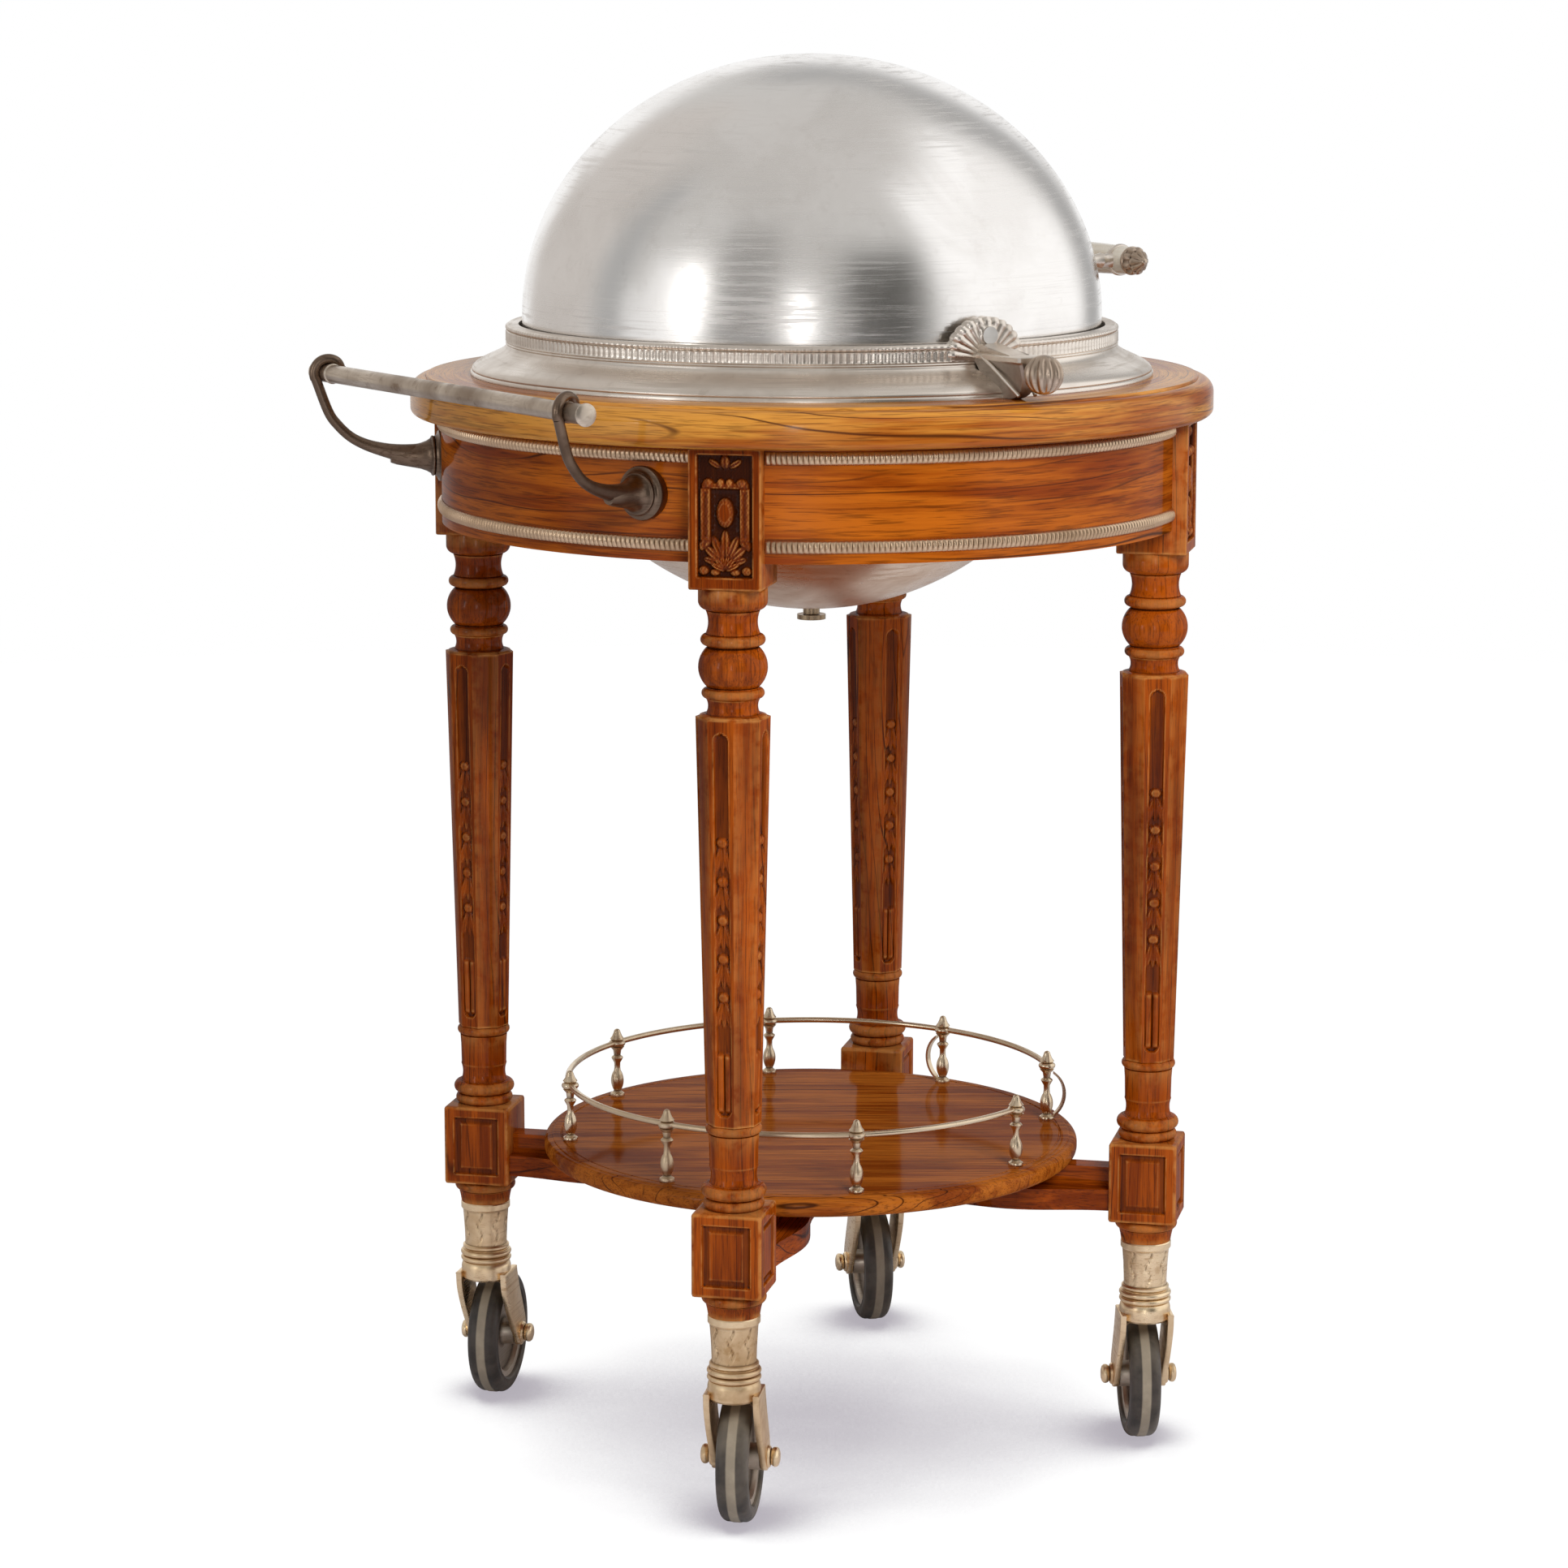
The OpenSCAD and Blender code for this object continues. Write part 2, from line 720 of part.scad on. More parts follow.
module trunnion_brackets()
    color(silver)
        both_trunnions()
            difference() {
                union() {
                    translate([plate_x, 0, collar_top_z])
                        rotate([90, 0, 90])
                            linear_extrude(plate_t)
                                polygon([for (i = [0 : 24]) let (a = 180 * i / 24)
                                    [plate_w / 2 * cos(a), plate_h * sin(a)]]);
                    radial_plate(cup_w)
                        polygon(concat(
                            [[collar_r - lap, board_top_z + fit_gap], [collar_r - lap, collar_top_z + lap],
                             [plate_x + plate_t, collar_top_z + lap],
                             [plate_x + plate_t, collar_top_z - head_room],
                             [plate_x + plate_t + cup_slope, board_top_z + cup_top_h],
                             [cup_x, board_top_z + cup_top_h]],
                            arc([cup_x - cup_curve_r, board_top_z + cup_curve_r], cup_curve_r, 0, -90)));
                }
                ring_solid();
                along_x(plate_x - lap, pin_d / 2 + run_gap, plate_t + 2 * lap, pivot_z);
                along_x(cup_x - knob_tail, knob_stem_r + run_gap, knob_tail + lap, knob_z);
            }

module trunnion_knobs()
    color(worn_silver)
        both_trunnions()
            translate([0, 0, knob_z]) rotate([0, 90, 0])
                turned(concat(
                    [[knob_stem_r, cup_x - knob_tail + lap], [knob_stem_r, cup_x],
                     [knob_neck_r, cup_x]],
                    arc([0, knob_x], knob_d / 2, -asin((knob_x - cup_x - 1) / (knob_d / 2)), 89, 12)));

module pivot_pins()
    color(pewter)
        both_trunnions() {
            along_x(pin_in_x, pin_d / 2, plate_x + plate_t - pin_in_x + lap, pivot_z);
            along_x(plate_x + plate_t, pin_head_r, pin_head_h, pivot_z);
        }

// ---- pan, platter and burner ----

pan_rim_drop = 20;
pan_rim_z = pivot_z - pan_rim_drop;
hanger_x = dome_r - 16;
hanger_t = 5;
hanger_w = 20;
hanger_top = 11;
support_w = 40;
support_t = 4;
support_drop = 41;
support_z = pivot_z - support_drop;
support_foot_h = 36;
support_in = 10;
cradle_x = burner_r + 14;
cradle_t = 2;
cradle_w = 20;
cradle_drop = 65;
burner_h = 28;
burner_shoulder = 8;
wick_r = 8;
wick_h = 12;
platter_slope = 12;
platter_lip = 2.5;
platter_t = 3;

module water_pan()
    color(silver)
        rotate_extrude()
            polygon([[0, pan_rim_z - pan_h], [pan_r - pan_t, pan_rim_z - pan_h], [pan_r, pan_rim_z - pan_h + pan_t],
                [pan_r, pan_rim_z - pan_t], [pan_r + pan_flange_w, pan_rim_z - pan_t],
                [pan_r + pan_flange_w, pan_rim_z], [pan_r - pan_t, pan_rim_z],
                [pan_r - pan_t, pan_rim_z - pan_h + pan_t], [0, pan_rim_z - pan_h + pan_t]]);

module pan_hangers()
    color(pewter)
        both_trunnions()
            difference() {
                radial_plate(hanger_w)
                    polygon([[pan_r + fit_gap, pan_rim_z - pan_t - hanger_t],
                        [hanger_x + hanger_t, pan_rim_z - pan_t - hanger_t],
                        [hanger_x + hanger_t, pivot_z + hanger_top], [hanger_x, pivot_z + hanger_top],
                        [hanger_x, pan_rim_z - pan_t], [pan_r + fit_gap, pan_rim_z - pan_t]]);
                rotate_extrude() translate([0, pan_rim_z - pan_t - big]) square([pan_r + fit_gap, big]);
                along_x(pin_in_x - lap, pin_d / 2 + run_gap, hanger_t + 4 * lap, pivot_z);
            }

// A bracket from the bowl's side to the pan's flange, below the way of the dome's rim
module pan_support()
    color(pewter)
        intersection() {
            difference() {
                radial_plate(support_w)
                    polygon([[pan_r, pan_rim_z - pan_t], [pan_r, support_z - support_t],
                        [bowl_r - support_in, support_z - support_t],
                        [bowl_r - support_in, support_z - support_foot_h],
                        [bowl_r, support_z - support_foot_h], [bowl_r, support_z],
                        [pan_r + 2 * support_t, support_z],
                        [pan_r + 2 * support_t, pan_rim_z - pan_t]]);
                translate([0, 0, pan_rim_z - big]) cylinder(r = pan_r + fit_gap, h = 2 * big, $fn = fine);
            }
            translate([0, 0, pivot_z]) sphere(r = bowl_r, $fn = fine);
        }

module burner_cradle()
    color(pewter)
        radial_plate(cradle_w)
            for (side = [0, 1]) mirror([side, 0])
                polygon([[-lap * side, pan_rim_z - pan_h - cradle_drop],
                    [cradle_x + cradle_t, pan_rim_z - pan_h - cradle_drop],
                    [cradle_x + cradle_t, pan_rim_z - pan_h - cradle_t],
                    [cradle_x + 6 * cradle_t, pan_rim_z - pan_h - cradle_t],
                    [cradle_x + 6 * cradle_t, pan_rim_z - pan_h], [cradle_x, pan_rim_z - pan_h],
                    [cradle_x, pan_rim_z - pan_h - cradle_drop + cradle_t],
                    [-lap * side, pan_rim_z - pan_h - cradle_drop + cradle_t]]);

module spirit_burner() {
    burner_z = pan_rim_z - pan_h - cradle_drop + cradle_t;
    color(brass)
        turned(concat(
            [[burner_r - 2, burner_z], [burner_r, burner_z + 2]],
            arc([burner_r - burner_shoulder, burner_z + burner_h - burner_shoulder], burner_shoulder, 0, 90, 6),
            [[wick_r, burner_z + burner_h], [wick_r, burner_z + burner_h + wick_h]]));
}

module carving_platter()
    color(silver)
        rotate_extrude()
            polygon([[0, pan_rim_z], [platter_r - platter_slope, pan_rim_z],
                [platter_r, pan_rim_z + platter_h - platter_lip],
                [platter_r, pan_rim_z + platter_h], [platter_r - platter_lip, pan_rim_z + platter_h],
                [platter_r - platter_slope - platter_lip, pan_rim_z + platter_t],
                [0, pan_rim_z + platter_t]]);

// ---- push handle ----

arm_foot_drop = 38;
arm_foot_z = board_z - arm_foot_drop;
bar_z = arm_foot_z + bar_rise;
arm_sides = 12;
bar_cap_l = 3;
bar_lip = 1.5;
curl_from = -35;
curl_to = 165;
curl_steps = 8;

// Middle line of an arm in its own upright plane, as shares of its reach and rise, up to its curl
arm_shape = [[-0.064, 0], [0.086, 0.007], [0.235, 0.017], [0.385, 0.043], [0.535, 0.086],
    [0.684, 0.15], [0.813, 0.243], [0.92, 0.379], [1.005, 0.543]];
arm_path = concat(
    [for (share = arm_shape) [share[0] * arm_reach, share[1] * bar_rise]],
    [for (i = [0 : curl_steps]) let (a = curl_from + (curl_to - curl_from) * i / curl_steps)
        [arm_reach, bar_rise] + arm_curl_r * [cos(a), sin(a)]]);
// Radius of an arm at point i of its path: it swells over the first points, next to the foot
arm_swell = 2.6;
swell_points = 6;
function arm_radius(i) = arm_d / 2 * (1 + arm_swell * pow(max(0, 1 - i / swell_points), 2));

// Outline of an arm's foot: radius and distance from the apron's face
foot_profile = [[foot_d / 2, -8], [foot_d / 2, 3], [foot_d / 2 - 5, 6], [foot_d / 2 - 9, 14],
    [arm_d * 1.1, 26], [arm_d * 0.8, 34]];

// Unit direction of a flat path at point i
function heading(path, i) =
    let (a = path[max(i - 1, 0)], b = path[min(i + 1, len(path) - 1)]) (b - a) / norm(b - a);
// A round tube along a flat path in the XZ plane
module flat_tube(path) {
    n = len(path);
    points = [for (i = [0 : n - 1], j = [0 : arm_sides - 1])
        let (d = heading(path, i), r = arm_radius(i), a = 360 * j / arm_sides)
        [path[i][0] - d[1] * r * cos(a), r * sin(a), path[i][1] + d[0] * r * cos(a)]];
    sides = [for (i = [0 : n - 2], j = [0 : arm_sides - 1])
        let (k = (j + 1) % arm_sides)
        [i * arm_sides + k, (i + 1) * arm_sides + k, (i + 1) * arm_sides + j, i * arm_sides + j]];
    first = [for (j = [arm_sides - 1 : -1 : 0]) j];
    last = [for (j = [0 : arm_sides - 1]) (n - 1) * arm_sides + j];
    polyhedron(points, concat(sides, [first], [last]));
}

module push_handle_arm(side)
    color(pewter)
        difference() {
            translate([-foot_x, side * foot_y, arm_foot_z])
                rotate([0, 0, 180 - side * arm_heading]) {
                    flat_tube(arm_path);
                    rotate([0, 90, 0]) turned(foot_profile);
                }
            translate([0, 0, -lap]) cylinder(r = apron_r, h = 2 * big);
            translate([-bar_x, -bar_l, bar_z]) rotate([-90, 0, 0])
                cylinder(r = bar_d / 2 + run_gap, h = 2 * bar_l);
        }

module push_handle_bar()
    color(pewter)
        translate([-bar_x, -bar_l / 2, bar_z]) rotate([-90, 0, 0]) {
            cylinder(r = bar_d / 2, h = bar_l);
            cylinder(r = bar_d / 2 + bar_lip, h = bar_cap_l);
            translate([0, 0, bar_l - bar_cap_l]) cylinder(r = bar_d / 2 + bar_lip, h = bar_cap_l);
        }

// ---- dome ----

dome_steps = 28;
rim_angle = -asin(rim_drop / dome_rise);
bush_r = 8;
bush_x = dome_r - 6.5;
bush_l = 8;
bush_lip_r = 12;
bush_lip_t = 1.8;
post_r = 5;
post_rose_r = 13;
post_rose_t = 2;
post_in_x = dome_r - 48;
finial_r = 10;
finial_l = 20;
finial_tip_r = 2;
finial_neck_r = 6;
finial_foot_h = 5;
grip_end_h = 3;
grip_barrel = 2;

function dome_points(inset) =
    [for (i = [0 : dome_steps]) let (a = rim_angle + (90 - rim_angle) * i / dome_steps)
        [(dome_r - inset) * cos(a), pivot_z + (dome_rise - inset) * sin(a)]];
module dome_room()
    rotate_extrude($fn = fine) polygon(concat([[0, pivot_z - rim_drop]], dome_points(0)));

module dome_shell()
    color(silver)
        difference() {
            rotate_extrude()
                difference() {
                    polygon(concat([[0, pivot_z - rim_drop]], dome_points(0)));
                    polygon(concat([[0, pivot_z - rim_drop - lap], [dome_r - dome_t, pivot_z - rim_drop - lap]],
                        dome_points(dome_t)));
                }
            for (side = [-90, 90]) rotate([0, 0, side])
                along_x(bush_x, bush_r, dome_r - bush_x + lap, pivot_z);
        }

module pivot_bushes()
    color(pewter)
        both_trunnions()
            difference() {
                union() {
                    along_x(bush_x, bush_r, bush_l, pivot_z);
                    along_x(bush_x, bush_lip_r, bush_lip_t, pivot_z);
                }
                along_x(bush_x - lap, pin_d / 2 + run_gap, bush_l + 2 * lap, pivot_z);
            }

grip_z = pivot_z + grip_rise;
module at_grip() translate([grip_x, 0, grip_z]) rotate([-90, 0, 0]) children();

module grip_body()
    at_grip() turned(concat(
        [[grip_d / 2 - grip_barrel - lap, -grip_l / 2]],
        bulge_points(0, grip_l - 2 * lap, grip_d / 2, grip_d / 2 - grip_barrel),
        [[grip_d / 2 - grip_barrel - lap, grip_l / 2]]));
module dome_grip() color(ivory) grip_body();

module dome_grip_posts()
    color(silver)
        difference() {
            for (side = [-1, 1]) translate([0, side * grip_posts / 2, 0]) {
                along_x(post_in_x, post_r, grip_x - post_in_x, grip_z);
                intersection() {
                    along_x(post_in_x, post_rose_r, dome_r - post_in_x + post_rose_t, grip_z);
                    translate([0, -side * grip_posts / 2, pivot_z]) sphere(r = dome_r + post_rose_t, $fn = fine);
                }
            }
            dome_room();
            grip_body();
        }

module dome_grip_finials()
    color(silver)
        for (side = [0, 180])
            at_grip() rotate([side, 0, 0]) translate([0, 0, grip_l / 2])
                turned(concat(
                    [[grip_d / 2 - 2 * grip_barrel, 0], [grip_d / 2 - grip_barrel, grip_end_h],
                     [finial_neck_r, finial_foot_h]],
                    bulge_points((finial_foot_h + finial_l) / 2, finial_l - finial_foot_h - 2 * lap,
                        finial_r, finial_neck_r),
                    [[finial_tip_r, finial_l]]));

// ---- casters ----

cap_low_r = 18;
cap_rim_h = 5;
stem_r = 5;
stem_h = 17;
swivel_collar_r = 22;
boss_r = 11;
crown_half = 13;
hub_r = 11;
hub_clear = 0.5;
web_t = 8;
rim_t = 5;
rim_w = 20;
nut_r = 8;
nut_h = 10;
nut_foot_h = 2;
nut_dome_h = 5;
nut_dome_r = 6.4;
nut_neck_r = 4.8;
nut_tip_r = 2;
tread_round = 7;
tyre_bevel = 3;
cap_lip = 2;
inner_w = fork_w - 2 * cheek_t;

function turn_of(corner) =
    corner == rear_right ? rear_right_turn
    : corner == rear_left ? rear_left_turn
    : corner == front_right ? front_right_turn : front_left_turn;
// A caster's own place: the swivel's axis, with +X along its trail
module at_caster(corner)
    at_leg(corner) rotate([0, 0, turn_of(corner) - corner]) children();
// A piece that turns on the axle, drawn along +Z round the origin
module on_axle(corner)
    at_caster(corner) translate([trail, 0, axle_z]) rotate([90, 0, 0]) children();

module caster_cap(corner)
    color(brass)
        at_leg(corner)
            difference() {
                turned([[cap_low_r + cap_lip, cap_z], [cap_low_r + cap_lip, cap_z + cap_rim_h / 2],
                    [cap_low_r, cap_z + cap_rim_h], [cap_d / 2 - cap_lip, toe_z - cap_rim_h],
                    [cap_d / 2, toe_z - cap_rim_h + lap], [cap_d / 2, toe_z]]);
                translate([0, 0, toe_z - socket_depth - fit_gap])
                    cylinder(r = tenon_r + fit_gap, h = socket_depth + lap);
                translate([0, 0, cap_z - lap]) cylinder(r = stem_r + run_gap, h = stem_h + lap);
            }

module caster_fork(corner)
    color(brass)
        difference() {
            at_caster(corner) {
                translate([0, 0, collar_z]) cylinder(r = swivel_collar_r, h = swivel_collar_h);
                translate([0, 0, collar_z]) cylinder(r = stem_r, h = swivel_collar_h + swivel_gap + stem_h - lap);
                translate([0, 0, crown_z]) cylinder(r = fork_w / 2, h = crown_h);
                for (side = [-1, 1])
                    translate([0, side * (fork_w - cheek_t) / 2, 0])
                        radial_plate(cheek_t)
                            hull() {
                                translate([trail, axle_z]) circle(r = boss_r);
                                translate([-crown_half, crown_z]) square([2 * crown_half, crown_h / 2]);
                            }
            }
            on_axle(corner) cylinder(r = axle_d / 2 + run_gap, h = 2 * fork_w, center = true);
        }

module caster_axle(corner)
    color(brass)
        on_axle(corner) {
            cylinder(r = axle_d / 2, h = fork_w + nut_h, center = true);
            for (side = [0, 180]) rotate([side, 0, 0]) translate([0, 0, fork_w / 2])
                turned(concat([[nut_r, 0], [nut_r, nut_foot_h]],
                    bulge_points(nut_foot_h + nut_dome_h / 2, nut_dome_h, nut_dome_r, nut_neck_r),
                    [[nut_tip_r, axle_l / 2 - fork_w / 2]]));
        }

module caster_wheel(corner) {
    wheel_r = wheel_d / 2 - tyre_t;
    color(pewter)
        on_axle(corner)
            difference() {
                union() {
                    cylinder(r = hub_r, h = inner_w - 2 * hub_clear, center = true);
                    cylinder(r = wheel_r - rim_t + lap, h = web_t, center = true);
                    difference() {
                        cylinder(r = wheel_r, h = rim_w, center = true);
                        cylinder(r = wheel_r - rim_t, h = rim_w + 2 * lap, center = true);
                    }
                }
                cylinder(r = axle_d / 2 + run_gap, h = 2 * fork_w, center = true);
            }
}

module caster_tyre(corner) {
    wheel_r = wheel_d / 2 - tyre_t;
    color(rubber)
        on_axle(corner)
            rotate_extrude()
                polygon(concat(
                    [[wheel_r, -tyre_w / 2 + tyre_bevel], [wheel_r + tyre_bevel, -tyre_w / 2]],
                    arc([wheel_d / 2 - tread_round, -tyre_w / 2 + tread_round], tread_round, -90, 0, 6),
                    arc([wheel_d / 2 - tread_round, tyre_w / 2 - tread_round], tread_round, 0, 90, 6),
                    [[wheel_r + tyre_bevel, tyre_w / 2], [wheel_r, tyre_w / 2 - tyre_bevel]]));
}

// ---- the assembly ----

on_axis() leg(rear_right);  // leg_rear_right
on_axis() leg(rear_left);  // leg_rear_left
on_axis() leg(front_right);  // leg_front_right
on_axis() leg(front_left);  // leg_front_left
on_axis() apron(0);  // apron_front
on_axis() apron(90);  // apron_left
on_axis() apron(180);  // apron_rear
on_axis() apron(270);  // apron_right
on_axis() beading_upper();
on_axis() beading_lower();
on_axis() top_bearer();
on_axis() top_board();
on_axis() shelf();
on_axis() stretcher_long();
on_axis() stretcher_cross();
on_axis() shelf_screws();
on_axis() gallery_posts();
on_axis() gallery_rail();
on_axis() gallery_braces();
on_axis() dome_ring();
on_axis() well_bowl();
on_axis() drain_boss();
on_axis() drain_plug();
on_axis() trunnion_brackets();
on_axis() trunnion_knobs();
on_axis() pivot_pins();
on_axis() water_pan();
on_axis() pan_hangers();
on_axis() pan_support();
on_axis() burner_cradle();
on_axis() spirit_burner();
on_axis() carving_platter();
on_axis() push_handle_bar();
on_axis() push_handle_arm(1);  // push_handle_arm_left
on_axis() push_handle_arm(-1);  // push_handle_arm_right
on_axis() dome_shell();
on_axis() pivot_bushes();
on_axis() dome_grip();
on_axis() dome_grip_posts();
on_axis() dome_grip_finials();
on_axis() caster_cap(rear_right);  // caster_cap_rear_right
on_axis() caster_fork(rear_right);  // caster_fork_rear_right
on_axis() caster_axle(rear_right);  // caster_axle_rear_right
on_axis() caster_wheel(rear_right);  // caster_wheel_rear_right
on_axis() caster_tyre(rear_right);  // caster_tyre_rear_right
on_axis() caster_cap(rear_left);  // caster_cap_rear_left
on_axis() caster_fork(rear_left);  // caster_fork_rear_left
on_axis() caster_axle(rear_left);  // caster_axle_rear_left
on_axis() caster_wheel(rear_left);  // caster_wheel_rear_left
on_axis() caster_tyre(rear_left);  // caster_tyre_rear_left
on_axis() caster_cap(front_right);  // caster_cap_front_right
on_axis() caster_fork(front_right);  // caster_fork_front_right
on_axis() caster_axle(front_right);  // caster_axle_front_right
on_axis() caster_wheel(front_right);  // caster_wheel_front_right
on_axis() caster_tyre(front_right);  // caster_tyre_front_right
on_axis() caster_cap(front_left);  // caster_cap_front_left
on_axis() caster_fork(front_left);  // caster_fork_front_left
on_axis() caster_axle(front_left);  // caster_axle_front_left
on_axis() caster_wheel(front_left);  // caster_wheel_front_left
on_axis() caster_tyre(front_left);  // caster_tyre_front_left
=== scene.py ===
"""Looks and finer shapes of a round carving trolley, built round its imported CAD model.

Every sub-assembly is a class that holds its sizes in millimetres, builds its own meshes in the
row frame and dresses them. A profile is a table of radius and height, drawn from the bottom up on
the outside. The finishes are procedural and ride on object coordinates.
"""

from __future__ import annotations

import logging
import math
from collections.abc import Callable, Sequence
from dataclasses import dataclass, field
from enum import Enum
from typing import NamedTuple

import bpy
import numpy as np
from mathutils import Matrix, Vector

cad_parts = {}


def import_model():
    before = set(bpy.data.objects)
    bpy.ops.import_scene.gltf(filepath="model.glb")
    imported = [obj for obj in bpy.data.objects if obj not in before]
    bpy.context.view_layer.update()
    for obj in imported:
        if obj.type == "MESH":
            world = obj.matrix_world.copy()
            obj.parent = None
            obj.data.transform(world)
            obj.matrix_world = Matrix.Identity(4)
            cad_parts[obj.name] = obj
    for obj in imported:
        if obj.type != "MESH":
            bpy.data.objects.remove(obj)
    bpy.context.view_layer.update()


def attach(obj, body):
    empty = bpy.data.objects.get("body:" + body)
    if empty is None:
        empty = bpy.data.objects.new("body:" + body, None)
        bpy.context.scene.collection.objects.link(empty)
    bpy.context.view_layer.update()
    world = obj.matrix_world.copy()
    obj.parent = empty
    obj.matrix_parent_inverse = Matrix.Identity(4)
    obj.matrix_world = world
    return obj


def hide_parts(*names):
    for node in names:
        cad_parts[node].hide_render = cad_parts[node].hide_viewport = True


LOG = logging.getLogger("carving_trolley")
MM = 0.001
CENTRE = 0.01  # radius at which a solid profile meets the axis
AXIS_X = 15.0766  # the table's axis, in millimetres from the row frame's origin
ROUNDING = 0.3  # share of a softened edge at which its middle point lies
Colour = tuple[float, float, float]
WHITE: Colour = (1.0, 1.0, 1.0)
Profile = Sequence[tuple[float, float]]
Shaping = Callable[[np.ndarray, np.ndarray], np.ndarray]


class Corner(Enum):
    """The four legs, by the angle of each from +X."""

    FRONT_LEFT = 45.0
    REAR_LEFT = 135.0
    REAR_RIGHT = 225.0
    FRONT_RIGHT = 315.0

    @property
    def label(self) -> str:
        """The corner's word in the names of nodes and bodies."""
        return self.name.lower()


class Grain(Enum):
    """How the grain of a wooden piece runs."""

    UPRIGHT = "upright"
    ROUND = "round"
    PLANK = "plank"


# ---------------------------------------------------------------- outlines


def arc(cx: float, cy: float, r: float, start: float, end: float, n: int = 10) -> list[tuple[float, float]]:
    """Points of an arc.

    Args:
        cx, cy: The centre.
        r: The radius.
        start, end: Angles in degrees.
        n: Number of steps.

    Returns:
        n + 1 points.
    """
    angles = np.radians(np.linspace(start, end, n + 1))
    return [(cx + r * math.cos(a), cy + r * math.sin(a)) for a in angles]


def bead(z: float, h: float, r: float, n: int = 10) -> list[tuple[float, float]]:
    """A half-round moulding, h high round height z, out to radius r."""
    return arc(r - h / 2, z, h / 2, -90, 90, n)


def bow(chord: float, sag: float) -> tuple[float, float]:
    """The radius, and half the angle in degrees, of an arc with this chord and sag."""
    radius = (chord * chord / 4 + sag * sag) / (2 * sag)
    return radius, math.degrees(math.asin(chord / 2 / radius))


def bulge(z: float, h: float, r: float, neck: float, n: int = 20) -> list[tuple[float, float]]:
    """A bulge h high round height z, from radius neck out to radius r.

    Args:
        z, h: Its middle and its height.
        r, neck: Its largest and its smallest radius.
        n: Number of steps.

    Returns:
        n + 1 points.
    """
    radius, a = bow(h, r - neck)
    return arc(r - radius, z, radius, -a, a, n)


def cove(z: float, h: float, r: float, rim: float, n: int = 12) -> list[tuple[float, float]]:
    """A hollow moulding h high round height z, from radius rim in to radius r.

    Args:
        z, h: Its middle and its height.
        r, rim: Its smallest and its largest radius.
        n: Number of steps.

    Returns:
        n + 1 points.
    """
    radius, a = bow(h, rim - r)
    return arc(r + radius, z, radius, 180 + a, 180 - a, n)


def smooth(t: np.ndarray) -> np.ndarray:
    """A soft step of t from 0 to 1."""
    t = np.clip(t, 0, 1)
    return t * t * (3 - 2 * t)


def rings(radius: np.ndarray | float, angle: np.ndarray, z: np.ndarray | float) -> np.ndarray:
    """Points by radius, angle and height, which share their rows and columns."""
    return np.stack(np.broadcast_arrays(radius * np.cos(angle), radius * np.sin(angle), z), axis=-1)


def on_side(out: np.ndarray, across: np.ndarray, up: np.ndarray, a: float) -> np.ndarray:
    """Points on an upright side that faces angle a: how far out, how far across and how high."""
    x, y = out * math.cos(a) - across * math.sin(a), out * math.sin(a) + across * math.cos(a)
    return np.stack([x, y, up], axis=-1)


def shift(x: float, y: float, z: float) -> Matrix:
    """A move, in millimetres."""
    return Matrix.Translation((x, y, z))


def turn(degrees: float, axis: str = "Z") -> Matrix:
    """A turn about an axis through the origin."""
    return Matrix.Rotation(math.radians(degrees), 4, axis)


def on_axis() -> Matrix:
    """The place of a piece that is drawn round the dome's axis."""
    return shift(AXIS_X, 0, 0)


# ---------------------------------------------------------------- meshes


class Look(NamedTuple):
    """A finish as it is built: its material and the record's material slot."""

    material: bpy.types.Material
    slot: str


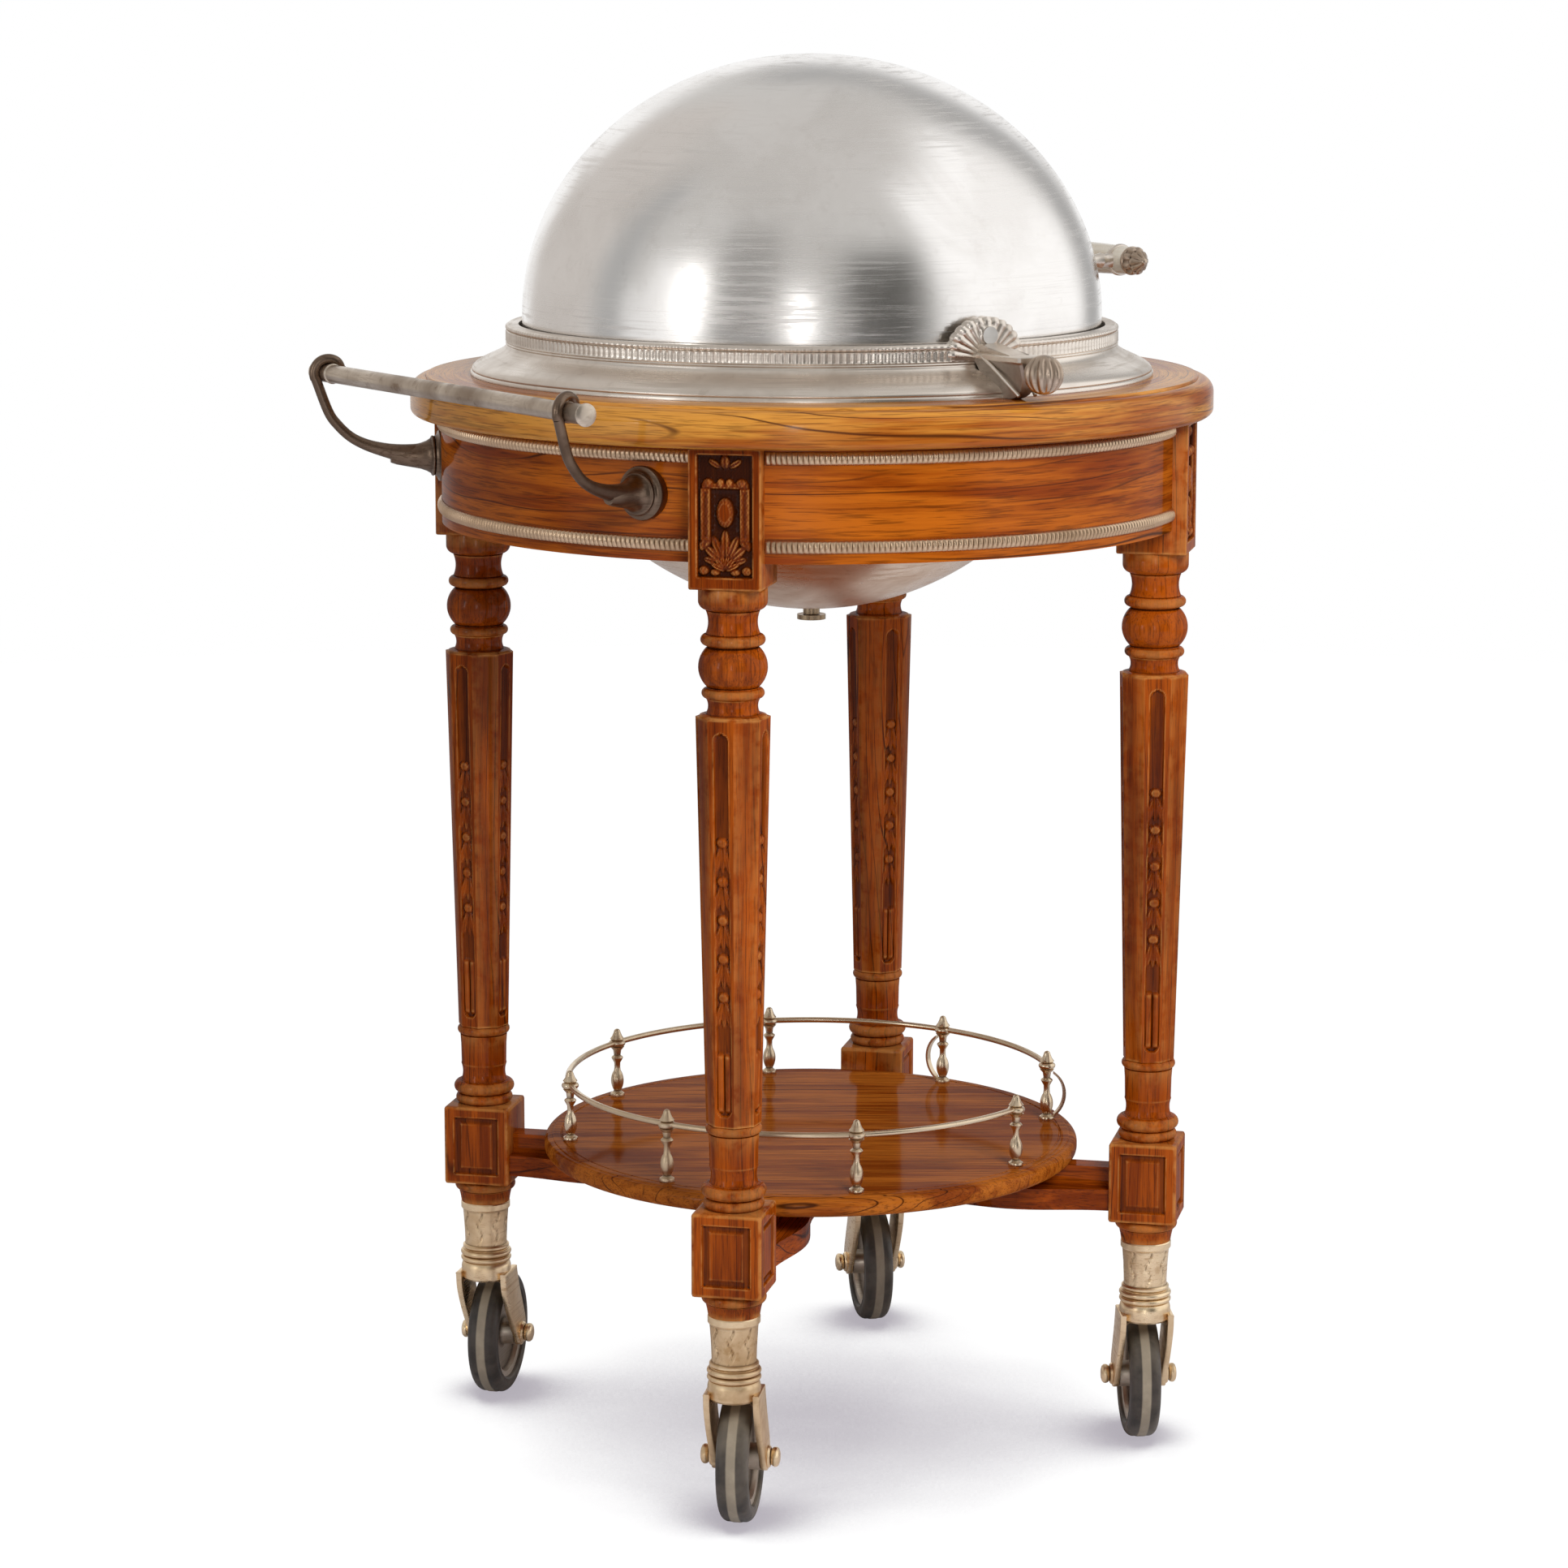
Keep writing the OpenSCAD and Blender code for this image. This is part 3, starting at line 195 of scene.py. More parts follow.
class Piece:
    """Collects the closed shells of one piece, in millimetres, and makes its object."""

    def __init__(self) -> None:
        """Starts without any shell."""
        self.points: list[np.ndarray] = []
        self.relief: list[np.ndarray] = []
        self.faces: list[tuple[int, ...]] = []
        self.count = 0

    def shell(self, points: np.ndarray, faces: Sequence[tuple[int, ...]], place: Matrix,
              relief: np.ndarray | None = None) -> None:
        """Adds a shell.

        Args:
            points: Its vertices, as rows.
            faces: Its faces, as indices into points.
            place: Where it goes.
            relief: How far each vertex stands above (1) or below (-1) its surroundings.
        """
        m = np.array(place)
        moved = points @ m[:3, :3].T + m[:3, 3]
        if np.linalg.det(m[:3, :3]) < 0:
            faces = [tuple(reversed(f)) for f in faces]
        self.points.append(moved)
        self.relief.append(np.zeros(len(points)) if relief is None else relief)
        self.faces.extend(tuple(i + self.count for i in f) for f in faces)
        self.count += len(points)

    def sheet(self, grid: np.ndarray, place: Matrix, wrap_rows: bool = False, wrap_columns: bool = True,
              caps: bool = True, relief: np.ndarray | None = None) -> None:
        """Adds a shell from a grid of points.

        Args:
            grid: Points by row, column and axis. Columns turn anticlockwise as rows go up.
            place: Where it goes.
            wrap_rows: The last row joins the first.
            wrap_columns: The last column joins the first.
            caps: The first and last rows are closed with a face.
            relief: The relief value of each point, by row and column.
        """
        rows, columns = grid.shape[:2]
        index = np.arange(rows * columns).reshape(rows, columns)
        if wrap_rows:
            index = np.vstack([index, index[:1]])
        if wrap_columns:
            index = np.hstack([index, index[:, :1]])
        a, b, c, d = index[:-1, :-1], index[:-1, 1:], index[1:, 1:], index[1:, :-1]
        quads = np.stack([a, b, c, d], axis=-1).reshape(-1, 4)
        faces = [tuple(q) for q in quads.tolist()]
        if caps and not wrap_rows:
            faces.append(tuple(range(columns - 1, -1, -1)))
            faces.append(tuple(range((rows - 1) * columns, rows * columns)))
        flat = None if relief is None else relief.reshape(-1)
        self.shell(grid.reshape(-1, 3), faces, place, flat)

    def turned(self, profile: Profile, place: Matrix, segments: int = 96, ripple: Shaping | None = None,
               loop: bool = False) -> None:
        """Adds a solid of revolution about Z.

        Args:
            profile: Points of radius and height, from the bottom up on the outside.
            place: Where it goes.
            segments: Number of columns.
            ripple: Adds to the radius, from the angle and the height.
            loop: The profile is a closed loop, so the solid is a ring.
        """
        pts = np.array(profile, float)
        angle = np.linspace(0, math.tau, segments, endpoint=False)
        radius = np.repeat(pts[:, :1], segments, axis=1)
        added = np.zeros_like(radius)
        if ripple is not None:
            added = ripple(np.broadcast_to(angle, radius.shape), np.broadcast_to(pts[:, 1:2], radius.shape))
        radius = np.maximum(radius + added, 0)
        self.sheet(rings(radius, angle, pts[:, 1:2]), place, wrap_rows=loop, relief=added)

    def plate(self, outline: Profile, low: float, high: float, place: Matrix, soft: float = 0.0,
              mark: float = 0.0) -> None:
        """Adds a flat plate with softened edges, its outline anticlockwise in XY.

        Args:
            outline: Its outline.
            low, high: Heights of its two faces.
            place: Where it goes.
            soft: How far the edges are softened.
            mark: Its relief value; a negative value has the plate painted with the hollow colour, as painted
                shade.
        """
        pts = np.array(outline, float)
        before, after = np.roll(pts, 1, axis=0), np.roll(pts, -1, axis=0)
        tangent = after - before
        tangent /= np.linalg.norm(tangent, axis=1)[:, None] + 1e-9
        inward = np.stack([-tangent[:, 1], tangent[:, 0]], axis=1)
        rows = [(low, 0.0), (high, 0.0)]
        if soft:
            near = soft * ROUNDING
            rows = [(low, soft), (low + near, near), (low + soft, 0.0),
                    (high - soft, 0.0), (high - near, near), (high, soft)]
        grid = np.stack([np.column_stack([pts + inward * inset, np.full(len(pts), z)]) for z, inset in rows])
        self.sheet(grid, place, relief=np.full(grid.shape[:2], mark))

    def tube(self, path: np.ndarray, radius: np.ndarray, place: Matrix, sides: int = 24,
             closed: bool = False) -> None:
        """Adds a round tube along a path.

        Args:
            path: Points of its middle line.
            radius: Its radius at each point.
            place: Where it goes.
            sides: Number of columns.
            closed: The path is a loop.
        """
        ahead = np.roll(path, -1, axis=0) - np.roll(path, 1, axis=0)
        if not closed:
            ahead[0], ahead[-1] = path[1] - path[0], path[-1] - path[-2]
        ahead /= np.linalg.norm(ahead, axis=1)[:, None]
        side = np.cross(ahead[0], [0.0, 0.3, 1.0] if abs(ahead[0][2]) < 0.9 else [0.0, 1.0, 0.2])
        rows = []
        angle = np.linspace(0, math.tau, sides, endpoint=False)
        for point, forward, r in zip(path, ahead, radius):
            side = side - forward * np.dot(side, forward)
            side /= np.linalg.norm(side)
            up = np.cross(forward, side)
            rows.append(point + r * (np.cos(angle)[:, None] * side + np.sin(angle)[:, None] * up))
        self.sheet(np.stack(rows), place, wrap_rows=closed)

    def block(self, width: float, low: float, height: float, place: Matrix, carving: dict[int, Shaping],
              step: float = 0.8, soft: float = 1.4) -> None:
        """Adds an upright square block with softened edges and carved sides.

        Args:
            width: Its width.
            low, height: Its lower end and its height.
            place: Where it goes.
            carving: For a side, counted in quarter turns from +X, the height of its carving from
                the place across and the height above the block's lower end.
            step: Distance between points on a carved side.
            soft: Radius of the softened edges.
        """
        half = width / 2
        near = soft * ROUNDING
        z = np.concatenate([[0, near], np.linspace(soft, height - soft, int(height / step)),
                            [height - near, height]])
        inset = np.concatenate([[soft, near], np.zeros(len(z) - 4), [near, soft]])
        columns, marks = [], []
        for side in range(4):
            steps = int(width / step) if side in carving else 3
            across = np.linspace(-half + soft, half - soft, steps)
            t, v = np.meshgrid(across, z)
            up = carving[side](t, v) if side in carving else np.zeros_like(t)
            out = half + up - inset[:, None]
            a = side * math.pi / 2
            columns.append(on_side(out, t, low + v, a))
            marks.append(up)
            edge = half - soft * (1 - math.sqrt(0.5)) - inset * 0.7
            columns.append(on_side(edge, edge, low + z, a)[:, None])
            marks.append(np.zeros((len(z), 1)))
        self.sheet(np.concatenate(columns, axis=1), place, relief=np.concatenate(marks, axis=1))

    def build(self, name: str, look: Look, body: str, nodes: Sequence[str], crease: float = 32.0) -> None:
        """Makes the object and puts it on its body.

        Args:
            name: Name of the piece.
            look: Its look.
            body: The CAD body that carries it.
            nodes: The CAD nodes that it stands for.
            crease: Angle in degrees above which an edge stays sharp.
        """
        mesh = bpy.data.meshes.new(name)
        mesh.from_pydata((np.vstack(self.points) * MM).tolist(), [], self.faces)
        mark = mesh.attributes.new("relief", "FLOAT", "POINT")
        mark.data.foreach_set("value", np.concatenate(self.relief).astype(np.float32))
        mesh.materials.append(look.material)
        mesh.validate()
        mesh.shade_smooth()
        mesh.set_sharp_from_angle(angle=math.radians(crease))
        obj = bpy.data.objects.new(name, mesh)
        bpy.context.scene.collection.objects.link(obj)
        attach(obj, body)
        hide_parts(*nodes)
        LOG.info("%s: %d faces on %s", name, len(mesh.polygons), body)


# ---------------------------------------------------------------- node trees


class Graph:
    """A short way to write a node tree."""

    MIX_FACTOR, MIX_FIRST, MIX_SECOND, MIX_COLOUR = 0, 6, 7, 2

    def __init__(self, tree: bpy.types.NodeTree) -> None:
        """Takes the tree that the nodes go into."""
        self.tree = tree

    def node(self, kind: str, **settings: object) -> bpy.types.Node:
        """Adds a node and sets its plain properties.

        Args:
            kind: Its type.
            settings: Its plain properties, by name.

        Returns:
            The new node.
        """
        made = self.tree.nodes.new(kind)
        for key, value in settings.items():
            setattr(made, key, value)
        return made

    def put(self, socket: bpy.types.NodeSocket, value: object) -> None:
        """Links a socket, or sets its value.

        Args:
            socket: The socket.
            value: A socket to link it with, or a plain value.
        """
        if isinstance(value, bpy.types.NodeSocket):
            self.tree.links.new(value, socket)
        elif isinstance(value, tuple) and len(value) == 3 and socket.type == "RGBA":
            socket.default_value = (*value, 1.0)
        else:
            socket.default_value = value

    def math(self, operation: str, a: object, b: object = 0.0, c: object = 0.0) -> bpy.types.NodeSocket:
        """A Math node.

        Args:
            operation: What it does.
            a, b, c: Its inputs.

        Returns:
            Its output.
        """
        made = self.node("ShaderNodeMath", operation=operation)
        for socket, value in zip(made.inputs, (a, b, c)):
            self.put(socket, value)
        return made.outputs[0]

    def plus(self, a: object, b: object) -> bpy.types.NodeSocket:
        """The sum of two values."""
        return self.math("ADD", a, b)

    def times(self, a: object, b: object) -> bpy.types.NodeSocket:
        """The product of two values."""
        return self.math("MULTIPLY", a, b)

    def mix(self, factor: object, a: object, b: object, blend: str = "MIX") -> bpy.types.NodeSocket:
        """A Mix node for colours.

        Args:
            factor: The share of the second colour.
            a, b: The two colours.
            blend: How they are mixed.

        Returns:
            The mixed colour.
        """
        made = self.node("ShaderNodeMix", data_type="RGBA", blend_type=blend)
        for index, value in ((self.MIX_FACTOR, factor), (self.MIX_FIRST, a), (self.MIX_SECOND, b)):
            self.put(made.inputs[index], value)
        return made.outputs[self.MIX_COLOUR]

    def span(self, value: object, low: object, high: object, start: object = 0.0,
             end: object = 1.0) -> bpy.types.NodeSocket:
        """A soft step from start to end while value goes from low to high.

        Args:
            value: What the step depends on.
            low, high: Where it starts and where it ends.
            start, end: What it gives there.

        Returns:
            The step's output.
        """
        made = self.node("ShaderNodeMapRange", interpolation_type="SMOOTHSTEP")
        for socket, item in zip(made.inputs, (value, low, high, start, end)):
            self.put(socket, item)
        return made.outputs[0]

    def stretch(self, vector: object, scale: tuple[float, float, float]) -> bpy.types.NodeSocket:
        """The vector times a scale.

        Args:
            vector: The vector.
            scale: The scale.

        Returns:
            The scaled vector.
        """
        made = self.node("ShaderNodeVectorMath", operation="MULTIPLY")
        self.put(made.inputs[0], vector)
        made.inputs[1].default_value = scale
        return made.outputs[0]

    def noise(self, vector: object, scale: float = 1.0, detail: float = 2.0, rough: float = 0.5,
              bend: float = 0.0) -> bpy.types.NodeSocket:
        """A Noise Texture node's value.

        Args:
            vector: Where it is read.
            scale, detail, rough, bend: The node's own settings.

        Returns:
            The value.
        """
        made = self.node("ShaderNodeTexNoise")
        self.put(made.inputs["Vector"], vector)
        for key, value in (("Scale", scale), ("Detail", detail), ("Roughness", rough), ("Distortion", bend)):
            made.inputs[key].default_value = value
        return made.outputs["Fac"]

    def split(self, vector: object) -> list[bpy.types.NodeSocket]:
        """The three parts of a vector.

        Args:
            vector: The vector.

        Returns:
            Its parts.
        """
        made = self.node("ShaderNodeSeparateXYZ")
        self.put(made.inputs[0], vector)
        return list(made.outputs)

    def join(self, x: object, y: object, z: object) -> bpy.types.NodeSocket:
        """A vector from three parts.

        Args:
            x, y, z: The parts.

        Returns:
            The vector.
        """
        made = self.node("ShaderNodeCombineXYZ")
        for socket, value in zip(made.inputs, (x, y, z)):
            self.put(socket, value)
        return made.outputs[0]

    def bump(self, height: object, depth: float, strength: float = 1.0) -> bpy.types.NodeSocket:
        """A Bump node's normal.

        Args:
            height: The height.
            depth, strength: How deep and how strong it is.

        Returns:
            The normal.
        """
        made = self.node("ShaderNodeBump")
        made.inputs["Strength"].default_value = strength
        made.inputs["Distance"].default_value = depth
        self.put(made.inputs["Height"], height)
        return made.outputs[0]

    def group(self, tree: bpy.types.NodeTree, **values: object) -> dict[str, bpy.types.NodeSocket]:
        """Places a node group, with its inputs given by name.

        Args:
            tree: The group.
            values: Its inputs, by name.

        Returns:
            Its outputs, by name.
        """
        made = self.node("ShaderNodeGroup", node_tree=tree)
        for key, value in values.items():
            self.put(made.inputs[key], value)
        return {s.name: s for s in made.outputs}


class Effects:
    """The shader node groups that several finishes share, each built once."""

    def __init__(self) -> None:
        """Builds the groups."""
        self.unrolled = self._unrolled()
        self.figure = self._figure()
        self.wax_and_painted_light = self._wax_and_painted_light()
        self.scratches = self._scratches()
        self.clouds = self._clouds()

    @staticmethod
    def _start(name: str, inputs: dict[str, str], outputs: dict[str, str]) -> tuple[Graph, dict, dict]:
        """Makes an empty group.

        Args:
            name: Its name.
            inputs, outputs: Socket types by name.

        Returns:
            Its graph, and its input and output sockets by name.
        """
        tree = bpy.data.node_groups.new(name, "ShaderNodeTree")
        kinds = {"vector": "NodeSocketVector", "value": "NodeSocketFloat", "colour": "NodeSocketColor"}
        for key, kind in inputs.items():
            tree.interface.new_socket(key, in_out="INPUT", socket_type=kinds[kind])
        for key, kind in outputs.items():
            tree.interface.new_socket(key, in_out="OUTPUT", socket_type=kinds[kind])
        graph = Graph(tree)
        source, sink = graph.node("NodeGroupInput"), graph.node("NodeGroupOutput")
        return graph, {s.name: s for s in source.outputs}, {s.name: s for s in sink.inputs}

    def _unrolled(self) -> bpy.types.NodeTree:
        """Object coordinates unrolled round the table's axis, matched in pairs: along, outwards and up.

        Returns:
            The group.
        """
        g, source, sink = self._start("unrolled", {"Radius": "value"}, {"Vector": "vector"})
        x, y, z = g.split(g.node("ShaderNodeTexCoord").outputs["Object"])
        x = g.math("SUBTRACT", x, AXIS_X * MM)
        around = g.times(g.math("ABSOLUTE", g.math("ARCTAN2", y, x)), source["Radius"])
        out = g.math("SQRT", g.plus(g.times(x, x), g.times(y, y)))
        g.put(sink["Vector"], g.join(around, out, z))
        return g.tree

    def _figure(self) -> bpy.types.NodeTree:
        """The figure of polished wood, with its grain along X.

        Returns:
            The group.
        """
        g, source, sink = self._start(
            "wood_figure",
            {"Vector": "vector", "Dark": "colour", "Middle": "colour", "Light": "colour"},
            {"Color": "colour", "Pores": "value", "Height": "value"})
        vector = source["Vector"]
        broad = g.noise(g.stretch(vector, (3.2, 26.0, 26.0)), 1.0, 3.0, 0.55, 0.3)
        streaks = g.noise(g.stretch(vector, (7.0, 150.0, 150.0)), 1.0, 3.0, 0.6)
        tone = g.plus(g.times(broad, 0.6), g.times(streaks, 0.4))
        colour = g.mix(g.span(tone, 0.4, 0.6), source["Middle"], source["Light"])
        flow = g.noise(g.stretch(vector, (1.5, 13.0, 13.0)), 1.0, 2.0, 0.5, 0.2)
        _, out, up = g.split(vector)
        across = g.math("SUBTRACT", g.times(out, 340.0), g.times(up, 210.0))
        wave = g.math("ABSOLUTE", g.math("SINE", g.math("MULTIPLY_ADD", flow, 30.0, across)))
        shown = g.span(g.noise(g.stretch(vector, (4.0, 40.0, 40.0)), 1.0, 2.0, 0.5), 0.38, 0.6)
        veins = g.times(g.span(wave, 0.24, 0.02), g.math("MULTIPLY_ADD", shown, 0.78, 0.12))
        fibres = g.noise(g.stretch(vector, (30.0, 800.0, 800.0)), 1.0, 2.0, 0.6)
        pores = g.span(fibres, 0.5, 0.66)
        marked = g.math("MAXIMUM", veins, g.times(pores, 0.48))
        g.put(sink["Color"], g.mix(marked, colour, source["Dark"]))
        g.put(sink["Pores"], pores)
        g.put(sink["Height"], g.math("SUBTRACT", g.times(streaks, 0.3), marked))
        return g.tree

    def _wax_and_painted_light(self) -> bpy.types.NodeTree:
        """Wax and dirt, both old, and painted shade in the hollows of a carving; painted shade in its
        creases; and a painted highlight with rubbed wear on its ridges.

        Returns:
            The group.
        """
        g, source, sink = self._start(
            "wax_wear_and_painted_light",
            {"Color": "colour", "Hollow": "colour", "Ridge": "colour", "Vector": "vector", "Edges": "value"},
            {"Color": "colour", "Hollow": "value", "Raised": "value"})
        mark = g.node("ShaderNodeAttribute", attribute_name="relief").outputs["Fac"]
        point = g.node("ShaderNodeNewGeometry").outputs["Pointiness"]
        blot = g.noise(source["Vector"], 60.0, 3.0, 0.6)
        worn = g.math("MULTIPLY_ADD", g.math("SUBTRACT", blot, 0.5), 0.9, mark)
        sunk = g.span(worn, -0.3, -4.2)
        # Painted shade in concave creases, found from pointiness.
        crease = g.times(g.span(point, 0.495, 0.44), source["Edges"])
        hollow = g.math("MAXIMUM", sunk, crease)
        # Painted highlight on convex ridges, found from pointiness.
        ridge = g.times(g.span(point, 0.505, 0.55), g.span(blot, 0.3, 0.6))
        ridge = g.times(ridge, source["Edges"])
        colour = g.mix(g.times(ridge, 0.6), source["Color"], source["Ridge"])
        # Wax and painted shade: hollows and creases take the hollow colour.
        g.put(sink["Color"], g.mix(g.times(hollow, 0.9), colour, source["Hollow"]))
        g.put(sink["Hollow"], hollow)
        g.put(sink["Raised"], g.span(mark, 0.05, 0.45))
        return g.tree

    def _scratches(self) -> bpy.types.NodeTree:
        """Fine rubbing marks along X of the given vector.

        Returns:
            The group.
        """
        g, source, sink = self._start("fine_scratches", {"Vector": "vector"},
                                      {"Mask": "value", "Height": "value"})
        fine = g.noise(g.stretch(source["Vector"], (14.0, 200.0, 900.0)), 1.0, 2.0, 0.7)
        broad = g.noise(g.stretch(source["Vector"], (9.0, 90.0, 320.0)), 1.0, 3.0, 0.65, 0.3)
        patchy = g.noise(g.stretch(source["Vector"], (4.0, 6.0, 9.0)), 1.0, 3.0, 0.6)
        lines = g.math("MAXIMUM", g.span(fine, 0.54, 0.7), g.span(broad, 0.5, 0.68))
        g.put(sink["Mask"], g.times(lines, g.span(patchy, 0.35, 0.6, 0.25, 1.0)))
        g.put(sink["Height"], g.plus(g.times(fine, 0.3), g.times(broad, 0.7)))
        return g.tree

    def _clouds(self) -> bpy.types.NodeTree:
        """Patches of tarnish or dullness.

        Returns:
            The group.
        """
        g, source, sink = self._start("tarnish_clouds", {"Vector": "vector"},
                                      {"Patches": "value", "Specks": "value"})
        wide = g.noise(source["Vector"], 9.0, 5.0, 0.62, 0.4)
        small = g.noise(source["Vector"], 70.0, 4.0, 0.65)
        g.put(sink["Patches"], g.span(wide, 0.4, 0.68))
        g.put(sink["Specks"], g.span(small, 0.55, 0.72))
        return g.tree


def new_material(name: str) -> tuple[bpy.types.Material, Graph, bpy.types.NodeInputs]:
    """Makes a material.

    Args:
        name: Its name.

    Returns:
        The material, its graph, and the inputs of its shader.
    """
    made = bpy.data.materials.new(name)
    made.use_nodes = True
    return made, Graph(made.node_tree), made.node_tree.nodes["Principled BSDF"].inputs


@dataclass(frozen=True)
class WoodFinish:
    """Polished wood."""

    name: str
    grain: Grain
    dark: Colour = (0.032, 0.006, 0.0012)
    middle: Colour = (0.18, 0.027, 0.0012)
    light: Colour = (0.39, 0.074, 0.003)
    # Wax and painted shade: the hollow colour. Painted highlight: the colour of the ridges. The edges weight
    # sets how much of both goes on creases and ridges.
    hollow: Colour = (0.014, 0.003, 0.001)
    ridge: Colour = (0.62, 0.27, 0.07)
    edges: float = 0.0
    heading: float = 0.0
    radius: float = 308.0
    rough: float = 0.4
    coat: float = 0.22
    slot: str = "polished_wood"

    def material(self, effects: Effects) -> bpy.types.Material:
        """Builds the material.

        Args:
            effects: The shared node groups.

        Returns:
            The new material.
        """
        made, g, shader = new_material(self.name)
        vector = self._along(g, effects)
        figure = g.group(effects.figure, Vector=vector, Dark=self.dark, Middle=self.middle, Light=self.light)
        # Wax and painted shade in the hollows and creases, and a painted highlight on the ridges.
        wax_and_painted_light = g.group(effects.wax_and_painted_light, Color=figure["Color"], Hollow=self.hollow, Ridge=self.ridge, Vector=vector,
                      Edges=self.edges)
        clouds = g.group(effects.clouds, Vector=vector)
        g.put(shader["Base Color"], wax_and_painted_light["Color"])
        rough = g.math("MULTIPLY_ADD", figure["Pores"], 0.12, self.rough)
        rough = g.plus(rough, g.times(clouds["Patches"], 0.12))
        g.put(shader["Roughness"], g.plus(rough, g.times(wax_and_painted_light["Hollow"], 0.25)))
        shader["Specular IOR Level"].default_value = 0.0
        shader["Coat Weight"].default_value = self.coat
        shader["Coat Roughness"].default_value = 0.09
        g.put(shader["Normal"], g.bump(figure["Height"], 0.00012, 0.5))
        return made

    def _along(self, g: Graph, effects: Effects) -> bpy.types.NodeSocket:
        """Coordinates with the grain along X.

        Args:
            g: The material's graph.
            effects: The shared node groups.

        Returns:
            The coordinates.
        """
        if self.grain is Grain.ROUND:
            return g.group(effects.unrolled, Radius=self.radius * MM)["Vector"]
        place = g.node("ShaderNodeTexCoord").outputs["Object"]
        if self.grain is Grain.UPRIGHT:
            x, y, z = g.split(place)
            return g.join(z, x, y)
        made = g.node("ShaderNodeVectorRotate", rotation_type="Z_AXIS")
        g.put(made.inputs["Vector"], place)
        made.inputs["Angle"].default_value = math.radians(-self.heading)
        return made.outputs[0]


@dataclass(frozen=True)
class MetalFinish:
    """Plated, cast or turned metal with its tarnish."""

    name: str
    clean: Colour
    dull: Colour
    hollow: Colour
    rough: float = 0.12
    haze: float = 0.2
    patches: float = 0.5
    scratch_depth: float = 0.00001
    scratch_haze: float = 0.14
    brushed: float = 0.0
    # The edges weight sets the painted shade in creases and the clean colour painted on ridges, a highlight
    # with rubbed wear.
    edges: float = 1.0
    radius: float = 250.0
    slot: str = "silver_plate"

    def material(self, effects: Effects) -> bpy.types.Material:
        """Builds the material.

        Args:
            effects: The shared node groups.

        Returns:
            The new material.
        """
        made, g, shader = new_material(self.name)
        place = g.node("ShaderNodeTexCoord").outputs["Object"]
        round_place = g.group(effects.unrolled, Radius=self.radius * MM)["Vector"]
        marks = g.group(effects.scratches, Vector=round_place)
        clouds = g.group(effects.clouds, Vector=place)
        dulled = g.plus(g.times(clouds["Patches"], self.patches),
                        g.times(clouds["Specks"], self.patches * 0.5))
        dulled = g.math("MAXIMUM", dulled, g.times(marks["Mask"], self.patches))
        colour = g.mix(dulled, self.clean, self.dull)
        # Tarnish in the hollows, painted shade in the creases, and the clean colour on the ridges as a
        # painted highlight with rubbed wear.
        wax_and_painted_light = g.group(effects.wax_and_painted_light, Color=colour, Hollow=self.hollow, Ridge=self.clean, Vector=place,
                      Edges=self.edges)
        g.put(shader["Base Color"], wax_and_painted_light["Color"])
        shader["Metallic"].default_value = 1.0
        rough = g.math("MULTIPLY_ADD", clouds["Patches"], self.haze, self.rough)
        rough = g.plus(rough, g.times(marks["Mask"], self.scratch_haze))
        g.put(shader["Roughness"], g.plus(rough, g.times(wax_and_painted_light["Hollow"], 0.3)))
        g.put(shader["Normal"], g.bump(marks["Height"], self.scratch_depth, 1.0))
        if self.brushed:
            shader["Anisotropic"].default_value = self.brushed
            shader["Anisotropic Rotation"].default_value = 0.25
            around = g.node("ShaderNodeTangent", direction_type="RADIAL", axis="Z")
            g.put(shader["Tangent"], around.outputs[0])
        return made


@dataclass(frozen=True)
class SmoothFinish:
    """Ivory-coloured grip or old rubber: a body colour with streaks, yellowing and wear."""

    name: str
    pale: Colour
    deep: Colour
    worn: Colour
    rough: float = 0.3
    streak: tuple[float, float, float] = (120.0, 18.0, 120.0)
    depth: float = 0.00005
    slot: str = "grip"

    def material(self, effects: Effects) -> bpy.types.Material:
        """Builds the material.

        Args:
            effects: The shared node groups.

        Returns:
            The new material.
        """
        made, g, shader = new_material(self.name)
        place = g.node("ShaderNodeTexCoord").outputs["Object"]
        lines = g.noise(g.stretch(place, self.streak), 1.0, 4.0, 0.6)
        clouds = g.group(effects.clouds, Vector=place)
        colour = g.mix(g.span(lines, 0.35, 0.7), self.pale, self.deep)
        colour = g.mix(g.times(clouds["Patches"], 0.35), colour, self.worn)
        wax_and_painted_light = g.group(effects.wax_and_painted_light, Color=colour, Hollow=self.deep, Ridge=self.worn, Vector=place, Edges=0.0)
        rubbed = g.times(wax_and_painted_light["Raised"], g.span(lines, 0.25, 0.6, 1.0, 0.75))
        g.put(shader["Base Color"], g.mix(rubbed, wax_and_painted_light["Color"], self.worn))
        g.put(shader["Roughness"], g.math("MULTIPLY_ADD", clouds["Specks"], 0.2, self.rough))
        g.put(shader["Normal"], g.bump(lines, self.depth, 1.0))
        return made


